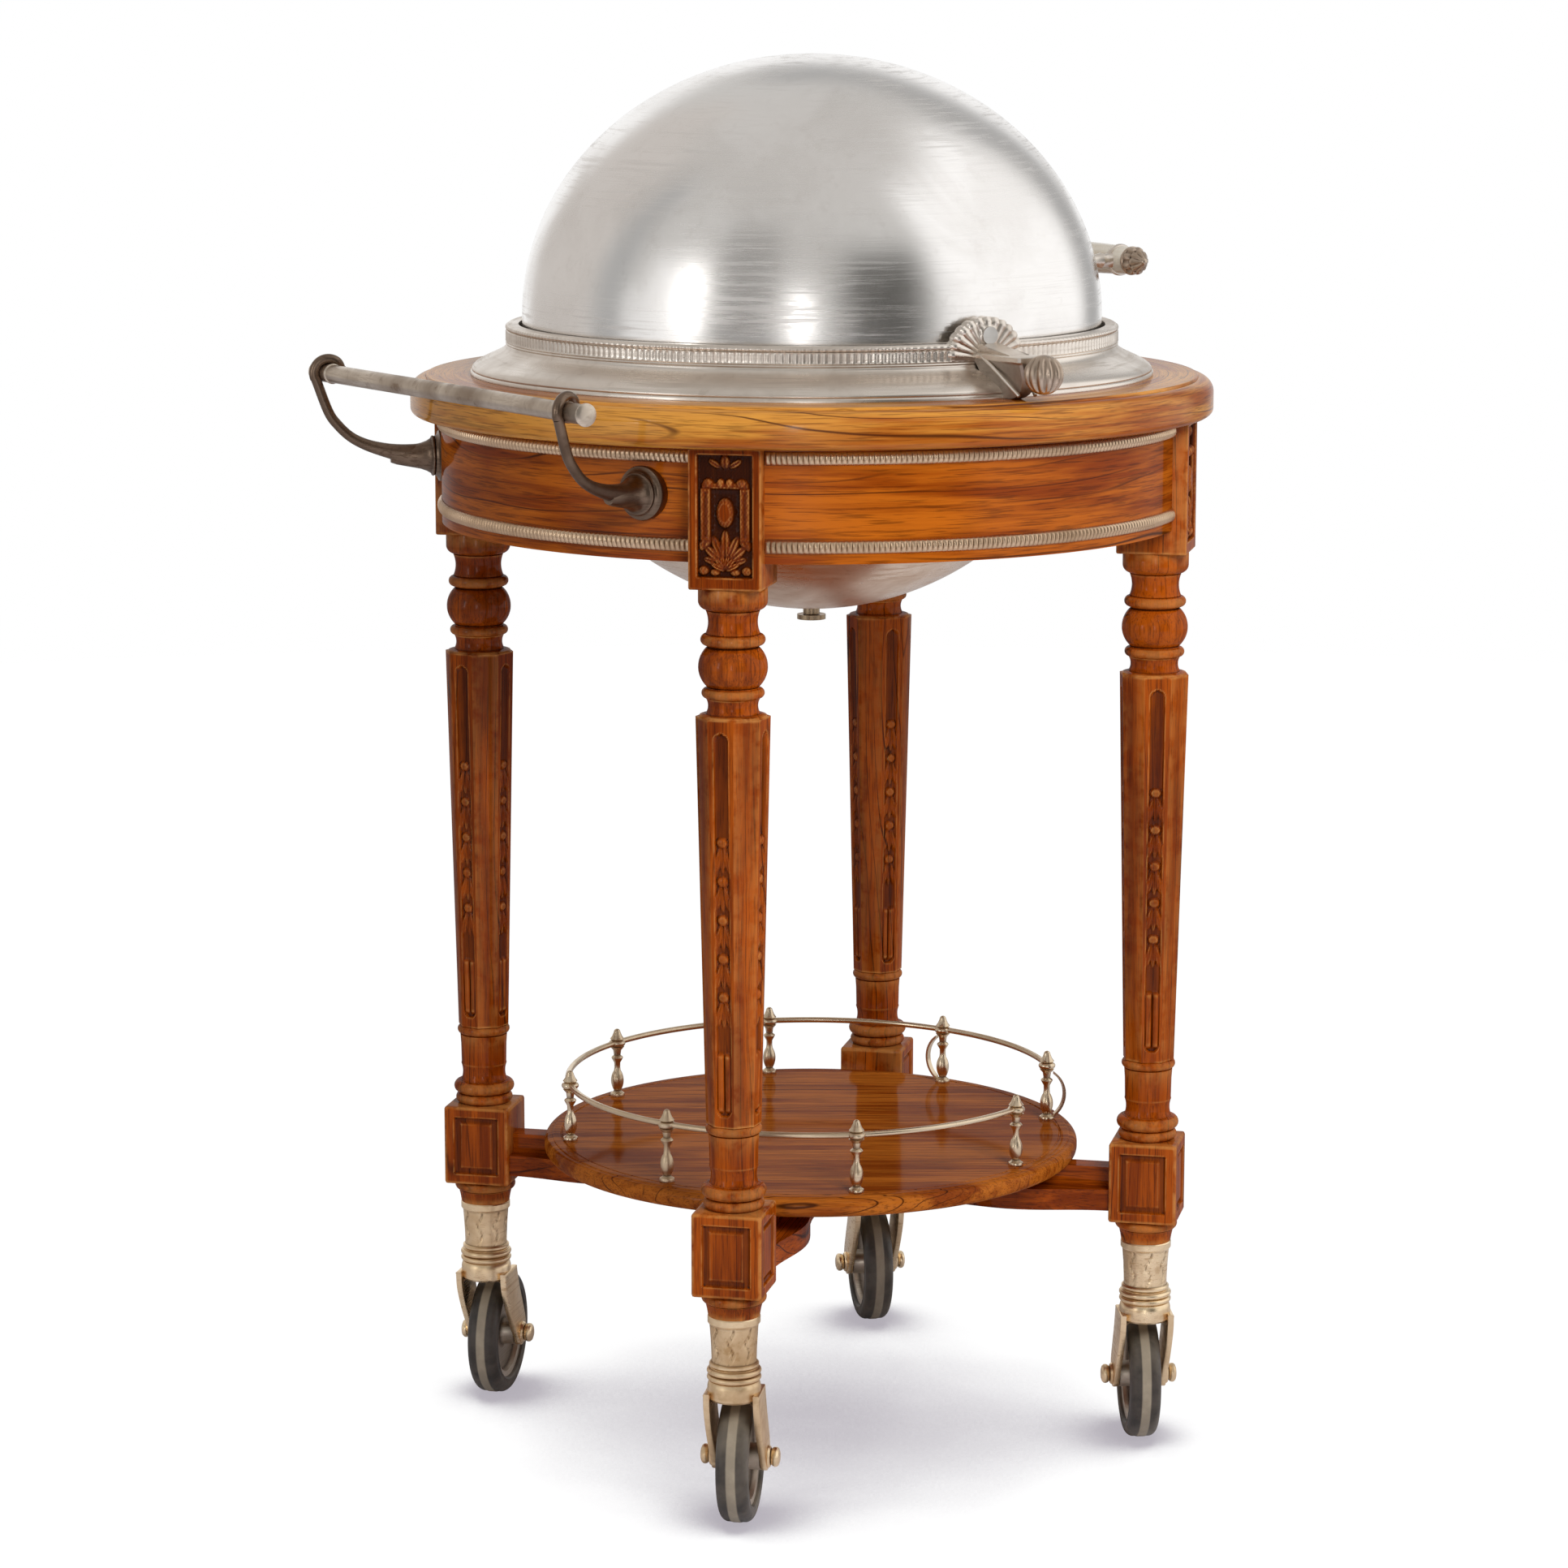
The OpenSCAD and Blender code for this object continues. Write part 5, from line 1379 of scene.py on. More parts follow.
@dataclass
class Trunnions(Assembly):
    """The shell-shaped plates, brackets and lobed knobs that carry the dome's pins."""

    plate_x: float = 245.0
    plate_half: float = 34.5
    plate_h: float = 31.5
    plate_z: float = 938.9
    front_x: float = 255.2
    curve_r: float = 256.0
    inner_x: float = 253.5
    web_half: float = 9.5
    wire_r: float = 1.5
    pin_rise: float = 18.0
    ledge_h: float = 29.0
    bend_r: float = 20.5
    foot_half: float = 5.2
    ledge_half: float = 12.5
    board_z: float = 909.9
    cup_x: float = 316.0
    knob_x: float = 329.5
    knob_z: float = 931.4
    knob_r: float = 15.5
    ribs: int = 13

    def build(self) -> None:
        """Builds both brackets and knobs, and dresses the pins and hangers."""
        brackets, knobs = Piece(), Piece()
        for side in (-90.0, 90.0):
            place = on_axis() @ turn(side)
            self._shell(brackets, place)
            self._bracket(brackets, place)
            self._knob(knobs, place)
        brackets.build("shell_trunnion_brackets", self.finishes.plate, "frame", ["trunnion_brackets"], 40.0)
        knobs.build("lobed_trunnion_knobs", self.finishes.tarnished, "frame", ["trunnion_knobs"], 60.0)
        dress("pivot_pins", self.finishes.steel)
        dress("pan_hangers", self.finishes.steel)

    def _shell(self, piece: Piece, place: Matrix) -> None:
        """The ribbed, scalloped shell round the pin.

        Args:
            piece: The piece that it goes into.
            place: The table's axis, turned to this pivot.
        """
        share = np.linspace(0, 1, 22)[:, None]
        angle = np.linspace(0, math.pi, self.ribs * 10 + 1)[None, :]
        lobes = np.abs(np.sin(angle * self.ribs)) ** 0.9
        reach = 1 + 0.035 * lobes * smooth((share - 0.6) / 0.4)
        y = self.plate_half * share * reach * np.cos(angle)
        z = self.plate_h * share * reach * np.sin(angle)
        from_pin = np.hypot(y, z - self.pin_rise)
        clear = smooth((from_pin - 6.5) / 2.0)
        rib = (1.25 * smooth((share - 0.2) / 0.2) * (0.35 + 0.65 * share)) * (lobes - 1) * clear
        boss = 1.3 * strip(from_pin, 5.0, 8.2, 1.5) + 0.9 * smooth((share - 0.8) / 0.14)
        front = self.front_x + rib + boss - 2.4 * smooth((share - 0.88) / 0.12) - y**2 / (2 * self.curve_r)
        rows = np.stack([front, y, z], axis=-1)
        rim = rows[-1:].copy()
        rim[..., 0] = self.plate_x + 0.3
        back = rim * np.array([1, 0.02, 0.02])
        grid = np.concatenate([rows, rim, back], axis=0)
        ends = grid[:, [0, -1]] * np.array([1, 1, 0]) - np.array([0, 0, 1.0])
        grid = np.concatenate([ends[:, :1], grid, ends[:, 1:]], axis=1)
        marks = np.pad(rib, ((0, 2), (1, 1)))
        piece.sheet(grid[:, ::-1], place @ shift(0, 0, self.plate_z), wrap_rows=True, relief=marks[:, ::-1])

    def _bracket(self, piece: Piece, place: Matrix) -> None:
        """The corbel between the ring and the knob: a ledge above, tapering down to the board.

        Args:
            piece: The piece that it goes into.
            place: The table's axis, turned to this pivot.
        """
        # The corbel's body rows are marked as sunk, so they are painted with the hollow colour: painted shade
        # on the corbel below its ledge.
        rows, marks = [], []
        for h in np.linspace(0.1, self.ledge_h, 22):
            share = h / self.ledge_h
            half = self.foot_half + (self.ledge_half - self.foot_half) * share**1.5
            bend = math.sqrt(self.bend_r**2 - (self.bend_r - min(h, self.bend_r)) ** 2)
            reach = self.cup_x - self.bend_r + bend - 3.0 * (1 - share)
            rows.append((h, half, reach, self.inner_x + (0.0 if h > 26 else 8.5 * (1 - share))))
            marks.append(-2.3)
        for h, half, past in ((30.2, 14.2, 0.4), (30.6, 14.2, 0.4), (33.4, 14.2, 0.4), (34.0, 13.4, -0.5)):
            rows.append((h, half, self.cup_x + past, self.inner_x))
            marks.append(0.0)
        grid = [[(start, -half, h), (reach - 2, -half, h), (reach, 2 - half, h), (reach, half - 2, h),
                 (reach - 2, half, h), (start, half, h)] for h, half, reach, start in rows]
        relief = np.repeat(marks, 6).reshape(-1, 6)
        piece.sheet(np.array(grid), place @ shift(0, 0, self.board_z), relief=relief)
        slope = [(254, 33.5), (297, 33.5), (268, 39), (258, 40.8), (254, 40.8)]
        upright = place @ shift(0, 0, self.board_z) @ turn(90, "X")
        piece.plate(slope, -self.web_half, self.web_half, upright, 1.2)
        for side in (-1, 1):
            path = np.array([(262 + 46 * t, side * (13.2 - 5.5 * t * t), self.board_z + 32.5 - 29 * t**1.25)
                             for t in np.linspace(0, 1, 24)])
            piece.tube(path, np.full(len(path), self.wire_r), place, 12)

    def _knob(self, piece: Piece, place: Matrix) -> None:
        """The ball knob, with upright lobes, on its collar.

        Args:
            piece: The piece that it goes into.
            place: The table's axis, turned to this pivot.
        """
        r, cup = self.knob_r, self.cup_x
        collar = [(5.8, cup - 12), (5.8, cup - 0.4), (8.4, cup + 0.2), (9.4, cup + 1.6), (7.6, cup + 3),
                  (6.0, cup + 6)]
        piece.turned(collar, place @ shift(0, 0, self.knob_z) @ turn(90, "Y"), 64)
        ball = [(0.02, -r), *arc(0, 0, r, -84, 84, 36), (0.02, r)]

        def lobes(angle: np.ndarray, z: np.ndarray) -> np.ndarray:
            """Depth of the grooves between the lobes."""
            gate = smooth((r - 0.6 - np.abs(z)) / 5)
            return -1.9 * gate * np.abs(np.cos(angle * 6)) ** 3

        piece.turned(ball, place @ shift(self.knob_x, 0, self.knob_z), 144, lobes)


@dataclass
class Warmer(Assembly):
    """The hot-water pan, the carving platter on it and the spirit burner below."""

    pan_r: float = 194.0
    rim_z: float = 936.9
    pan_h: float = 60.0
    platter_r: float = 200.0

    def build(self) -> None:
        """Builds the pan and platter and dresses the rest."""
        z, low, pan, r = self.rim_z, self.rim_z - self.pan_h, self.pan_r, self.platter_r
        profile = [(CENTRE, low), (pan - 6, low), *arc(pan - 6, low + 6, 6, -90, 0, 8), (pan, z - 2),
                   (pan + 11.4, z - 2), (pan + 12, z - 1.2), (pan + 12, z), (pan - 2, z),
                   *arc(pan - 7, low + 7, 5, 0, -90, 8), (CENTRE, low + 2)]
        self.lathe("hot_water_pan", "water_pan", profile, self.finishes.plate, 160)
        profile = [(CENTRE, z + 0.1), (r - 14, z + 0.1), (r - 9, z + 1.4), (r - 1, z + 5.0), (r, z + 6),
                   (r - 0.4, z + 7.4), (r - 1.6, z + 8), (r - 3, z + 7.2), (r - 12, z + 4.2),
                   (r - 17, z + 3.1), (r - 40, z + 3), (r - 41, z + 2.6), (r - 42, z + 2.6), (r - 43, z + 3),
                   (CENTRE, z + 3)]
        self.lathe("plated_carving_platter", "carving_platter", profile, self.finishes.dome, 160,
                   body="platter")
        dress("pan_support", self.finishes.steel)
        dress("burner_cradle", self.finishes.steel)
        dress("spirit_burner", self.finishes.brass)


@dataclass
class PushHandle(Assembly):
    """The push bar with its ferrules, and the two arms that swell into their feet."""

    bar_x: float = 348.0
    bar_z: float = 909.9
    bar_r: float = 7.5
    bar_l: float = 446.0
    bar_shift: float = -5.0
    foot_x: float = 261.2
    foot_y: float = 163.2
    foot_z: float = 839.9
    reach: float = 93.5
    rise: float = 70.0
    heading: float = 21.8
    arm_r: float = 4.2
    curl_r: float = 11.8
    line: tuple[tuple[float, float], ...] = (
        (-0.064, 0.0), (0.086, 0.007), (0.235, 0.017), (0.385, 0.043), (0.535, 0.086), (0.684, 0.15),
        (0.813, 0.243), (0.92, 0.379), (1.005, 0.543))

    def build(self) -> None:
        """Builds the bar and both arms."""
        half, r = self.bar_l / 2, self.bar_r
        ferrule = [(r - 2.4, 0), (r, 0.6), (r + 1.4, 1.2), (r + 1.5, 2.2), (r + 0.6, 3.2), (r + 0.25, 4.2),
                   (r + 0.25, 26.0), (r + 0.9, 27.0), (r + 0.9, 28.6), (r, 29.6)]
        profile = [(CENTRE, -half), *[(out, -half + d) for out, d in ferrule],
                   *[(r - 0.1, y) for y in np.linspace(-half + 40, half - 40, 9)],
                   *[(out, half - d) for out, d in reversed(ferrule)], (CENTRE, half)]
        place = shift(AXIS_X - self.bar_x, self.bar_shift, self.bar_z) @ turn(-90, "X")
        self.lathe("ferruled_push_bar", "push_handle_bar", profile, self.finishes.pewter, 64, place)
        for side, name in ((1, "left"), (-1, "right")):
            self._arm(side, name)

    def _arm(self, side: int, name: str) -> None:
        """One arm with its foot on the apron.

        Args:
            side: 1 for the left arm and -1 for the right.
            name: The arm's word in its node's name.
        """
        piece = Piece()
        place = shift(AXIS_X - self.foot_x, side * self.foot_y, self.foot_z) @ turn(180 - side * self.heading)
        knots = [(a * self.reach, b * self.rise) for a, b in self.line]
        knots += [(self.reach + x, self.rise + y) for x, y in arc(0, 0, self.curl_r, -35, 165, 14)]
        flat = spline(np.array(knots), 5)
        t = np.arange(len(flat)) / 5.0
        radius = self.arm_r * (1 + 2.4 * np.clip(1 - t / 6.5, 0, None) ** 2)
        radius *= 1 - 0.25 * smooth((t - t[-1] + 3) / 3)
        path = np.stack([flat[:, 0], np.zeros(len(flat)), flat[:, 1]], axis=-1)
        piece.tube(path, radius, place, 28)
        tip = path[-1]
        ball = [(0.05, -3.6), *arc(0, 0, 3.8, -70, 80, 10), (0.05, 3.8)]
        piece.turned(ball, place @ shift(*tip), 24)
        foot = [(21.0, -7), (21.4, 1.6), (20.8, 3.0), (18.6, 3.8), (17.4, 4.6), (16.6, 6.2),
                *bead(7.8, 2.6, 16.8, 6), (14.6, 9.6), (12.6, 13), (10.8, 18), (9.6, 24), (8.3, 31),
                (6.9, 38), (5.2, 43)]
        piece.turned(foot, place @ turn(90, "Y"), 64)
        piece.build(f"swept_handle_arm_{name}", self.finishes.arm, "frame", [f"push_handle_arm_{name}"])


def spline(knots: np.ndarray, steps: int) -> np.ndarray:
    """A smooth curve through its knots.

    Args:
        knots: The points, as rows.
        steps: Steps from one knot to the next.

    Returns:
        The points of the curve.
    """
    padded = np.vstack([2 * knots[0] - knots[1], knots, 2 * knots[-1] - knots[-2]])
    points = []
    for i in range(1, len(padded) - 2):
        p0, p1, p2, p3 = padded[i - 1:i + 3]
        for t in np.linspace(0, 1, steps, endpoint=False):
            points.append(0.5 * (2 * p1 + (p2 - p0) * t + (2 * p0 - 5 * p1 + 4 * p2 - p3) * t**2
                                 + (3 * p1 - p0 - 3 * p2 + p3) * t**3))
    return np.vstack([points, padded[-2]])


@dataclass
class Dome(Assembly):
    """The plated roll-top dome with its ivory-coloured grip."""

    radius: float = 240.0
    rise: float = 214.0
    thick: float = 1.5
    pivot_z: float = 956.9
    rim_drop: float = 17.0
    grip_x: float = 280.0
    grip_z: float = 995.4
    grip_half: float = 66.0
    post_y: float = 50.0

    def build(self) -> None:
        """Builds the shell, the grip, its posts and finials, and dresses the bushes."""
        self._shell()
        dress("pivot_bushes", self.finishes.steel)
        self._grip()
        self._posts()
        self._finials()

    def _wall(self, inset: float, steps: int) -> list[tuple[float, float]]:
        """Points of the dome's section from the rim up, inset by a distance.

        Args:
            inset: How far it lies inside the dome's face.
            steps: Number of steps.

        Returns:
            Its points.
        """
        low = -math.asin(self.rim_drop / self.rise)
        angles = np.linspace(low, math.pi / 2, steps + 1)
        wide, high = self.radius - inset, self.rise - inset
        return [(max(wide * math.cos(a), 2 * CENTRE), self.pivot_z + high * math.sin(a)) for a in angles]

    def _shell(self) -> None:
        """The dome itself, with a rolled lip at its rim."""
        outer = self._wall(0, 110)
        inner = self._wall(self.thick, 90)[::-1]
        low = self.pivot_z - self.rim_drop
        lip = [(self.radius - 2.9, low), (self.radius - 1.2, low)]
        profile = [*lip, *outer, *inner[:-1], (self.radius - 2.6, low + 0.6)]
        self.lathe("roll_top_dome", "dome_shell", profile, self.finishes.dome, 300, loop=True,
                   body="dome")

    def _place(self) -> Matrix:
        """The grip's place, with Z along the grip."""
        return shift(AXIS_X + self.grip_x, 0, self.grip_z) @ turn(-90, "X")

    def _grip(self) -> None:
        """The barrel-shaped grip."""
        half = self.grip_half
        profile = [(10.2, -half), (11.0, -half + 0.6), *bulge(0, 2 * half - 2.4, 13, 11.2, 30),
                   (11.0, half - 0.6), (10.2, half)]
        self.lathe("barrel_grip", "dome_grip", profile, self.finishes.ivory, 72, self._place(), body="dome")

    def _posts(self) -> None:
        """The two posts of the grip, each with a collar round the grip and a rose on the dome."""
        piece = Piece()
        for side in (-1, 1):
            y = side * self.post_y
            z = self.grip_z - self.pivot_z
            x = self.radius * math.sqrt(1 - (y / self.radius) ** 2 - (z / self.rise) ** 2)
            foot = shift(AXIS_X + x, y, self.grip_z)
            slope = Vector((x / self.radius**2, y / self.radius**2, z / self.rise**2)).normalized()
            rose_place = foot @ slope.to_track_quat("Z", "Y").to_matrix().to_4x4()
            rose = [(12.4, -1.2), (13, 0.3), (12.6, 1.2), (11.4, 1.8), (10.6, 1.6), (10, 2.2), (8.6, 3.0),
                    (7.4, 3.2), (6.6, 3.6), (6.2, 5.2), (5.2, 6.4)]
            piece.turned(rose, rose_place, 48, lambda a, z: 0.5 * np.sin(a * 8) * strip(z, -2, 2, 0.6))
            post = [(4.6, 0), (4.4, 8), (4.8, 14), (5.8, 18), (6.6, 20), (5.4, 22.5), (6.0, 26), (7.4, 29)]
            scale = (self.grip_x - x - 8) / post[-1][1]
            piece.turned([(r, h * scale) for r, h in post], foot @ turn(90, "Y"), 40)
            collar = [(11.0, -2.4), (12.8, -2.2), (13.4, -1.2), (13.5, 0), (13.4, 1.2), (12.8, 2.2),
                      (11.0, 2.4)]
            piece.turned(collar, self._place() @ shift(0, 0, y), 64, loop=True)
        piece.build("grip_posts_and_collars", self.finishes.plate, "dome", ["dome_grip_posts"])

    def _finials(self) -> None:
        """The acorn finials at the grip's ends, with two rows of overlapping leaves."""
        profile = [(9.6, -0.6), (11.8, 0), (12.2, 1.0), (12.0, 2.0), (10.8, 2.8), (11.6, 3.4),
                   *arc(0, 3.4, 12.3, 3, 48, 16), (7.4, 13.6), (6.2, 15.2), (4.8, 16.8), (3.2, 18.4),
                   (2.2, 19.4), (1.0, 20)]

        def leaves(angle: np.ndarray, z: np.ndarray) -> np.ndarray:
            """Depth of the gaps between the leaves.

            Args:
                angle, z: Places round and up.

            Returns:
                What it adds to the radius.
            """
            low = np.abs(np.cos(angle * 4)) ** 4 * strip(z, 3.2, 9.5, 1.0)
            high = np.abs(np.sin(angle * 4)) ** 4 * strip(z, 9.0, 17.0, 1.5)
            step = 0.7 * strip(z, 8.8, 10.2, 0.8)
            return -1.7 * low - 1.4 * high - step

        piece = Piece()
        for side in (0, 180):
            piece.turned(profile, self._place() @ turn(side, "X") @ shift(0, 0, self.grip_half), 96, leaves)
        piece.build("acorn_finials", self.finishes.tarnished, "dome", ["dome_grip_finials"])


@dataclass
class Casters(Assembly):
    """The four brass casters with their caps, forks, wheels and tyres."""

    circle: float = 290.0
    wheel_r: float = 54.0
    tyre_w: float = 26.5
    tyre_t: float = 14.0
    trail: float = 32.0
    fork_w: float = 45.4
    cheek: float = 5.2
    web_half: float = 12.5
    web_r: float = 4.2
    crown_z: float = 111.5
    collar_z: float = 128.3
    cap_z: float = 140.0
    toe_z: float = 182.0
    turns: dict[Corner, float] = field(default_factory=lambda: {
        Corner.REAR_RIGHT: 49.0, Corner.REAR_LEFT: 44.0, Corner.FRONT_RIGHT: 61.0, Corner.FRONT_LEFT: 67.0})

    def build(self) -> None:
        """Builds every caster."""
        for corner in Corner:
            leg = on_axis() @ turn(corner.value) @ shift(self.circle, 0, 0)
            place = leg @ turn(self.turns[corner] - corner.value)
            self._cap(corner, place)
            self._fork(corner, place)
            self._axle(corner, place)
            self._wheel(corner, place)

    def _cap(self, corner: Corner, place: Matrix) -> None:
        """The waisted cap on the leg's toe, engraved with upright leaves.

        Args:
            corner: The leg that it belongs to.
            place: The caster's place.
        """
        z, top = self.cap_z, self.toe_z
        bore = [(20.6, top), (15.2, top), (15.2, z + 20), (5.2, z + 20)]
        profile = [(5.2, z + 0.1), (19.2, z + 0.1), (20, z + 0.8), (20, z + 2.4), (19.2, z + 3.2),
                   (18.2, z + 3.8), *[(18.1 + 1.6 * t**1.6, z + 5 + 29.5 * t) for t in np.linspace(0, 1, 15)],
                   (20.6, top - 6.4), (21.2, top - 5.6), (21.25, top - 1), *bore]

        def leaves(angle: np.ndarray, height: np.ndarray) -> np.ndarray:
            """Depth of the engraved leaves.

            Args:
                angle, height: Places round and up.

            Returns:
                What it adds to the radius.
            """
            wave = np.abs(np.sin(angle * 4 + 0.5 * np.sin((height - z) * 0.35)))
            cut = -0.9 * strip(height, z + 7, top - 9, 2) * (wave < 0.2)
            cut[-len(bore):] = 0
            return cut

        self.lathe(f"engraved_cap_{corner.label}", f"caster_cap_{corner.label}", profile,
                   self.finishes.brass, 120, place, leaves, loop=True)

    def _fork(self, corner: Corner, place: Matrix) -> None:
        """The swivel collar, crown and cheeks.

        Args:
            corner: The leg that it belongs to.
            place: The caster's place.
        """
        z, c = self.crown_z, self.collar_z
        piece = Piece()
        collar = [(0.05, c - 0.2), (20.4, c - 0.2), *bead(c + 2.6, 4.6, 21.9, 8), (20.2, c + 5.2),
                  *bead(c + 8, 4.8, 22, 8), (19.6, c + 10.8), (18.8, c + 11.4), (4.9, c + 11.5),
                  (4.9, c + 27), (0.05, c + 27)]
        piece.turned(collar, place, 72)
        crown = [(0.05, z), (14.5, z), (19.5, z + 0.8), (21.2, z + 2.6), (21.5, z + 5), (21.5, z + 12),
                 (20.8, z + 15), (19.4, c), (0.05, c)]
        piece.turned(crown, place, 72)
        outline = self._cheek_outline()
        for side in (-1, 1):
            y = side * (self.fork_w - self.cheek) / 2
            piece.plate(outline, -self.cheek / 2, self.cheek / 2, place @ shift(0, y, 0) @ turn(90, "X"), 0.9)
            inner, r = self.fork_w / 2 - self.cheek, self.web_r
            fillet = [(inner + 0.6, z + 1), (inner - r, z + 1), (inner - r, z + 0.2),
                      *arc(inner - r, z - 4.0, r, 90, 0, 8), (inner + 0.6, z - 4.0)]
            web = [(side * a, b) for a, b in fillet]
            across = place @ turn(90, "X") @ turn(90, "Y")
            # The webs are marked as sunk, so they are painted with the hollow colour: painted shade inside
            # the fork.
            piece.plate(web if side > 0 else web[::-1], -self.web_half, self.web_half, across, mark=-4.0)
            washer = [(5.1, 0), (8.6, 0), (9.4, 0.8), (9.0, 1.6), (5.1, 1.6)]
            face = shift(self.trail, side * (self.fork_w / 2 - 0.4), self.wheel_r)
            piece.turned(washer, place @ face @ turn(-90 * side, "X"), 48, loop=True)
        piece.build(f"swivel_fork_{corner.label}", self.finishes.brass, f"caster_{corner.label}",
                    [f"caster_fork_{corner.label}"])

    def _cheek_outline(self) -> list[tuple[float, float]]:
        """Outline of a cheek in the plane of the wheel, from the crown down to the axle's boss.

        Returns:
            Its points.
        """
        top, boss = self.crown_z + 8, (self.trail, self.wheel_r)
        front = spline(np.array([(17.5, top), (21, top - 10), (27, top - 24), (34.5, top - 38), (42, 66),
                                 (43.4, 55)]), 6)
        back = spline(np.array([(21.0, 50.5), (13.5, 60), (0, 78), (-10, 94), (-15.5, 106), (-17.5, top)]), 6)
        end = arc(boss[0], boss[1], 11.4, 5, -160, 16)
        return self._anticlockwise([*map(tuple, front.tolist()), *end, *map(tuple, back.tolist())])

    @staticmethod
    def _anticlockwise(points: list[tuple[float, float]]) -> list[tuple[float, float]]:
        """The outline in anticlockwise order.

        Args:
            points: The outline.

        Returns:
            The same points in that order.
        """
        pts = np.array(points)
        after = np.roll(pts, -1, axis=0)
        area = np.sum(pts[:, 0] * after[:, 1] - after[:, 0] * pts[:, 1])
        return points if area > 0 else points[::-1]

    def _hub(self, place: Matrix) -> Matrix:
        """The place of a piece that is drawn round the axle."""
        return place @ shift(self.trail, 0, self.wheel_r) @ turn(90, "X")

    def _axle(self, corner: Corner, place: Matrix) -> None:
        """The axle with its domed nuts.

        Args:
            corner: The leg that it belongs to.
            place: The caster's place.
        """
        nut = [(8.6, 22.7), (8.8, 24), (8.2, 24.8), (6.4, 25.2), (6.6, 25.8), (7.6, 26.8), (8.2, 28.4),
               (8.0, 30), (6.8, 31.4), (4.6, 32.2), (1.8, 32.5)]
        profile = [(r, -z) for r, z in reversed(nut)] + [(4.95, -22.6), (4.95, 22.6)] + nut
        self.lathe(f"axle_and_nuts_{corner.label}", f"caster_axle_{corner.label}", profile,
                   self.finishes.brass, 48, self._hub(place), body=f"caster_{corner.label}")

    def _wheel(self, corner: Corner, place: Matrix) -> None:
        """The wheel and its rubber tyre.

        Args:
            corner: The leg that it belongs to.
            place: The caster's place.
        """
        w, r, rim = self.tyre_w / 2, self.wheel_r, self.wheel_r - self.tyre_t
        half = [(11, 16.9), (11, 8), (12.4, 5.2), (16, 4.2), (rim - 8, 4), (rim - 6, 5), (rim - 5, 8.4),
                (rim - 4.6, 9.6), (rim - 0.05, 10.2)]
        profile = [(5.1, -16.9), *[(out, -z) for out, z in half], *reversed(half), (5.1, 16.9)]
        self.lathe(f"disc_wheel_{corner.label}", f"caster_wheel_{corner.label}", profile,
                   self.finishes.wheel, 96, self._hub(place), loop=True, body=f"wheel_{corner.label}")
        side = [(rim, w - 3.2), (rim + 0.8, w - 1.0), (rim + 2.4, w), (rim + 4.2, w - 0.5),
                (rim + 5.2, w - 0.4), *arc(r - 7.4, w - 7.2, 7.0, 82, 12, 10)]
        profile = [*[(out, -z) for out, z in side], *[(r - 0.5, z) for z in np.linspace(-5, 5, 13)],
                   *reversed(side)]

        def tread(angle: np.ndarray, across: np.ndarray) -> np.ndarray:
            """Height of the worn band round the tyre's middle."""
            return 0.5 * smooth((5.0 - np.abs(across)) / 2.4)

        self.lathe(f"worn_tyre_{corner.label}", f"caster_tyre_{corner.label}", profile,
                   self.finishes.rubber, 128, self._hub(place), tread, loop=True,
                   body=f"wheel_{corner.label}")


# ---------------------------------------------------------------- studio


@dataclass(frozen=True)
class Patch:
    """A soft-edged patch of light or shade in the studio, by direction in degrees."""

    azimuth: float
    half_width: float
    low: float
    high: float
    level: float
    tint: Colour = WHITE
    soft: float = 2.0


